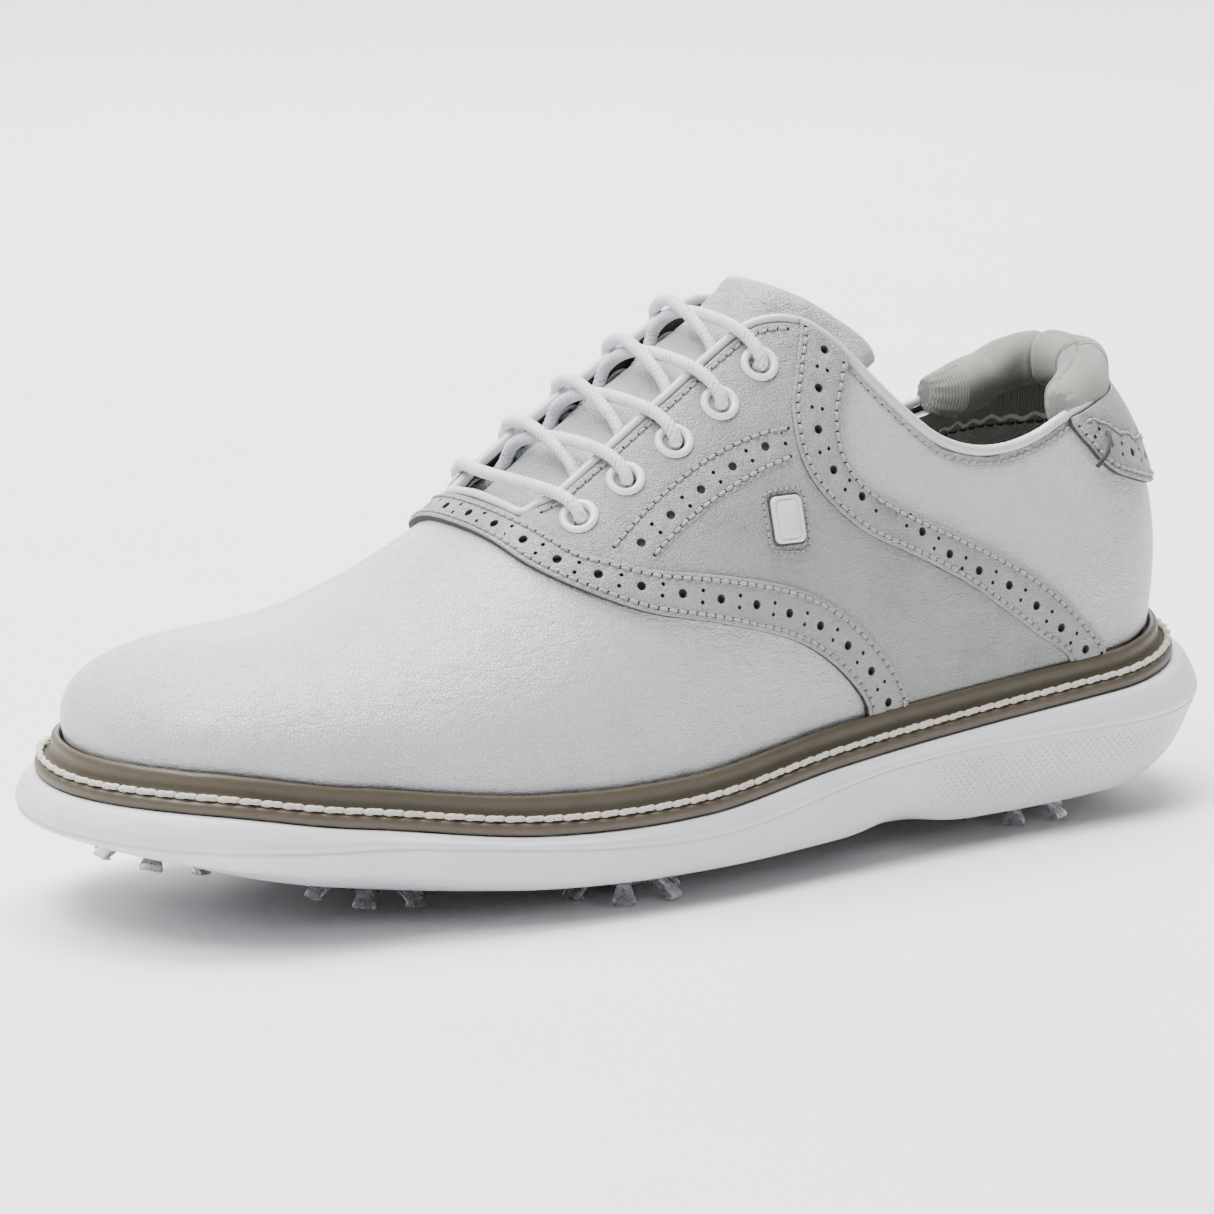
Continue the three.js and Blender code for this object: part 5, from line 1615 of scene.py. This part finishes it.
def lace_run(side):
    points, here = [], side
    for row in range(len(EYELETS)):
        last = row == len(EYELETS) - 1
        turn = -1 if last else 1
        points += lace_points(row, here, [
            (-2, 0.08, 2.95), (-0.5, 0.04, LACE_HIGH[here]), (0, 0.012, 3.3), (0.1, -0.004, 2.2),
            (0, -0.002, 0.4), (0, 0, -2.1), (0.2, turn * 0.01, -3.5),
        ])
        if not last:
            points += lace_points(row, here, [
                (1.4, 0.036, LACE_UNDER), (3.6, 0.078, -3.7), (5.2, 0.11, -1.7),
            ])
            between = (EYELETS[row][0] + EYELETS[row + 1][0]) / 2 + 0.5
            points.append(upper(between, 1.0, here, CROSS_OVER[here]))
            here = -here
    tail = [(-1, -0.03, -4.0), (-3, -0.07, -4.0), (-6, -0.12, -5.2), (-10, -0.19, -6.6),
            (-15, -0.27, -7.4), (-22, -0.36, -7.6), (-31, -0.45, -7.6), (-42, -0.53, -7.6),
            (-54, -0.59, -7.8), (-66, -0.62, -8)]
    return points + lace_points(len(EYELETS) - 1, here, tail)


def make_lace():
    bottom = upper(EYELETS[0][0] - 5.5, 1.0, LATERAL, 3.2)
    route = [*lace_run(LATERAL)[::-1], bottom, *lace_run(MEDIAL)]
    points, faces, flat = tube(route, LACE_RADIUS, 24, 0.34, False,
                               lambda angle, run: 0.85 + 0.2 * braid(angle, run))
    # The strand height, stored for the lace material's painted shade in the grooves between
    # strands.
    groove_shade_mask = braid(flat[:, 1] / LACE_RADIUS, flat[:, 0])
    piece("lace_braid", points, faces, [LACE], stands_for=["lace"], slot="lace_cord",
          flat=np.column_stack([flat, groove_shade_mask]), sharp=80)
    tip = [(-66.4, -0.62, -8), (-77, -0.63, -8.2), (-88, -0.63, -8.4)]
    for name, side in SIDES.items():
        points, faces, _ = tube(lace_points(len(EYELETS) - 1, side, tip), 1.35, 16, 1.0)
        piece(f"lace_tip_{name}_sleeve", points, faces, [GLOSS],
              stands_for=[f"lace_tip_{name}"], slot="white_plastic", sharp=50)


def raised(loop, height):
    return stacked(loop[:, 0], loop[:, 1], height)


def make_badge():
    origin, *axes = face_frame(*BADGE_AT, LATERAL)
    basis = np.stack(axes)
    loops = []
    for width, height, rise in ((4.1, 5.4, 0.95), (4.1, 5.4, 1.9), (4.02, 5.32, 2.15),
                                (3.75, 5.05, 2.3), (3.4, 4.7, 2.28), (3.3, 4.6, 1.95),
                                (3.1, 4.4, 1.95), (3.0, 4.3, 2.2), (1.6, 3.2, 2.36)):
        loops.append(raised(rounded_box(width, height, min(1.5, width * 0.6), 7), rise))
    points, faces = bar(loops)
    piece("badge_blank", origin + points @ basis, faces, [BADGE], stands_for=["badge"],
          slot="white_plastic", sharp=60)
    outer, inner = rounded_box(4.65, 5.95, 1.7, 7), rounded_box(4.05, 5.35, 1.45, 7)
    ring = np.array([raised(outer, 0.95), raised(outer, 1.25), raised(inner, 1.3),
                     raised(inner, 0.95)])
    piece("badge_dark_surround", origin + ring.reshape(-1, 3) @ basis,
          grid_faces(*ring.shape[:2], True, True), [EDGE], slot="dark_plastic", sharp=40)


def make_tab_loop():
    path = [upper(s, h, LATERAL, o) for s, h, o in (
        (113.5, 0.685, 1.5), (112.5, 0.67, 2.5), (110.5, 0.645, 3.1), (108.5, 0.62, 3.1),
        (106.5, 0.6, 2.3), (105.8, 0.59, 1.4),
    )]
    ply = lambda angle, run: 1 + 0.1 * np.cos(3 * angle + run * 2.4)
    points, faces, flat = tube(path, 0.6, 12, 0.3, False, ply)
    piece("tab_cord_loop", points, faces, [BLACK], stands_for=["tab_loop"], slot="dark_plastic",
          flat=flat, sharp=80)


make_eyelets()
make_lace()
make_badge()
make_tab_loop()
seams.make("panel_seams", SEAM_THREAD, "thread")


# ---------- floor, light and camera ----------
AZIMUTH, ELEVATION = math.radians(-32), math.radians(11.9)
DISTANCE = 1.458
LENS = 186.8
AIM = Vector((0.00565, 0.00085, 0.055))
PAN, TILT_UP = 0.0108, 0.001
SWEEP_FOOT, SWEEP_RADIUS, SWEEP_REACH = 1.4, 0.9, 5.0


def make_stage():
    """A paper floor that curves up into a wall behind the shoe, square to the camera."""
    look = Finish("floor_paper", roughness=0.75)
    look.tint(look.noise(0.01, 2.0), [(0.3, (0.86, 0.86, 0.865)), (0.7, (0.88, 0.88, 0.88))])
    profile = [(-3.0, 0.0), (SWEEP_FOOT, 0.0)]
    profile += [(SWEEP_FOOT + SWEEP_RADIUS * math.sin(a), SWEEP_RADIUS - SWEEP_RADIUS * math.cos(a))
                for a in np.linspace(0, math.pi / 2, 24)[1:]]
    profile += [(SWEEP_FOOT + SWEEP_RADIUS, 3.6)]
    away = np.array([-math.sin(AZIMUTH), math.cos(AZIMUTH)])
    wide = np.array([math.cos(AZIMUTH), math.sin(AZIMUTH)])
    points = [(*(away * reach + wide * w), z - 0.0004)
              for reach, z in profile for w in (-SWEEP_REACH, SWEEP_REACH)]
    faces = [(2 * k, 2 * k + 1, 2 * k + 3, 2 * k + 2) for k in range(len(profile) - 1)]
    mesh = bpy.data.meshes.new("studio_sweep")
    mesh.from_pydata(points, [], faces)
    mesh.polygons.foreach_set("use_smooth", [True] * len(faces))
    mesh.materials.append(look.material)
    floor = bpy.data.objects.new("studio_sweep", mesh)
    bpy.context.scene.collection.objects.link(floor)


LIT = Vector((0, 0, 0.05))


def area_light(name, place, size, power):
    lamp = bpy.data.lights.new(name, "AREA")
    lamp.shape = "RECTANGLE"
    lamp.size, lamp.size_y = size
    lamp.energy = power
    obj = bpy.data.objects.new(name, lamp)
    obj.location = place
    obj.rotation_mode = "QUATERNION"
    obj.rotation_quaternion = (LIT - Vector(place)).to_track_quat("-Z", "Y")
    bpy.context.scene.collection.objects.link(obj)


def make_camera():
    camera = bpy.data.objects.new("camera", bpy.data.cameras.new("camera"))
    bpy.context.scene.collection.objects.link(camera)
    bpy.context.scene.camera = camera
    camera.data.lens = LENS
    level = math.cos(ELEVATION)
    back = Vector((math.sin(AZIMUTH) * level, -math.cos(AZIMUTH) * level, math.sin(ELEVATION)))
    right = Vector((math.cos(AZIMUTH), math.sin(AZIMUTH), 0))
    aim = AIM - right * PAN + back.cross(right) * TILT_UP
    camera.location = aim + back * DISTANCE
    camera.rotation_mode = "QUATERNION"
    camera.rotation_quaternion = back.to_track_quat("Z", "Y")
    camera.data.clip_start, camera.data.clip_end = 0.05, 30


def make_lights():
    world = bpy.data.worlds.new("studio")
    world.use_nodes = True
    sky = world.node_tree.nodes["Background"].inputs
    sky["Color"].default_value = (1, 1, 1, 1)
    sky["Strength"].default_value = 0.13
    bpy.context.scene.world = world
    area_light("overhead", (0.1, 0.6, 2.4), (2.4, 1.8), 205)
    area_light("key", (-0.9, -0.2, 1.5), (0.7, 0.7), 30)
    area_light("fill", (1.0, -1.6, 0.5), (1.0, 0.6), 2)
    area_light("rim", (0.7, 1.3, 0.6), (0.8, 0.4), 7)


make_stage()
make_camera()
make_lights()
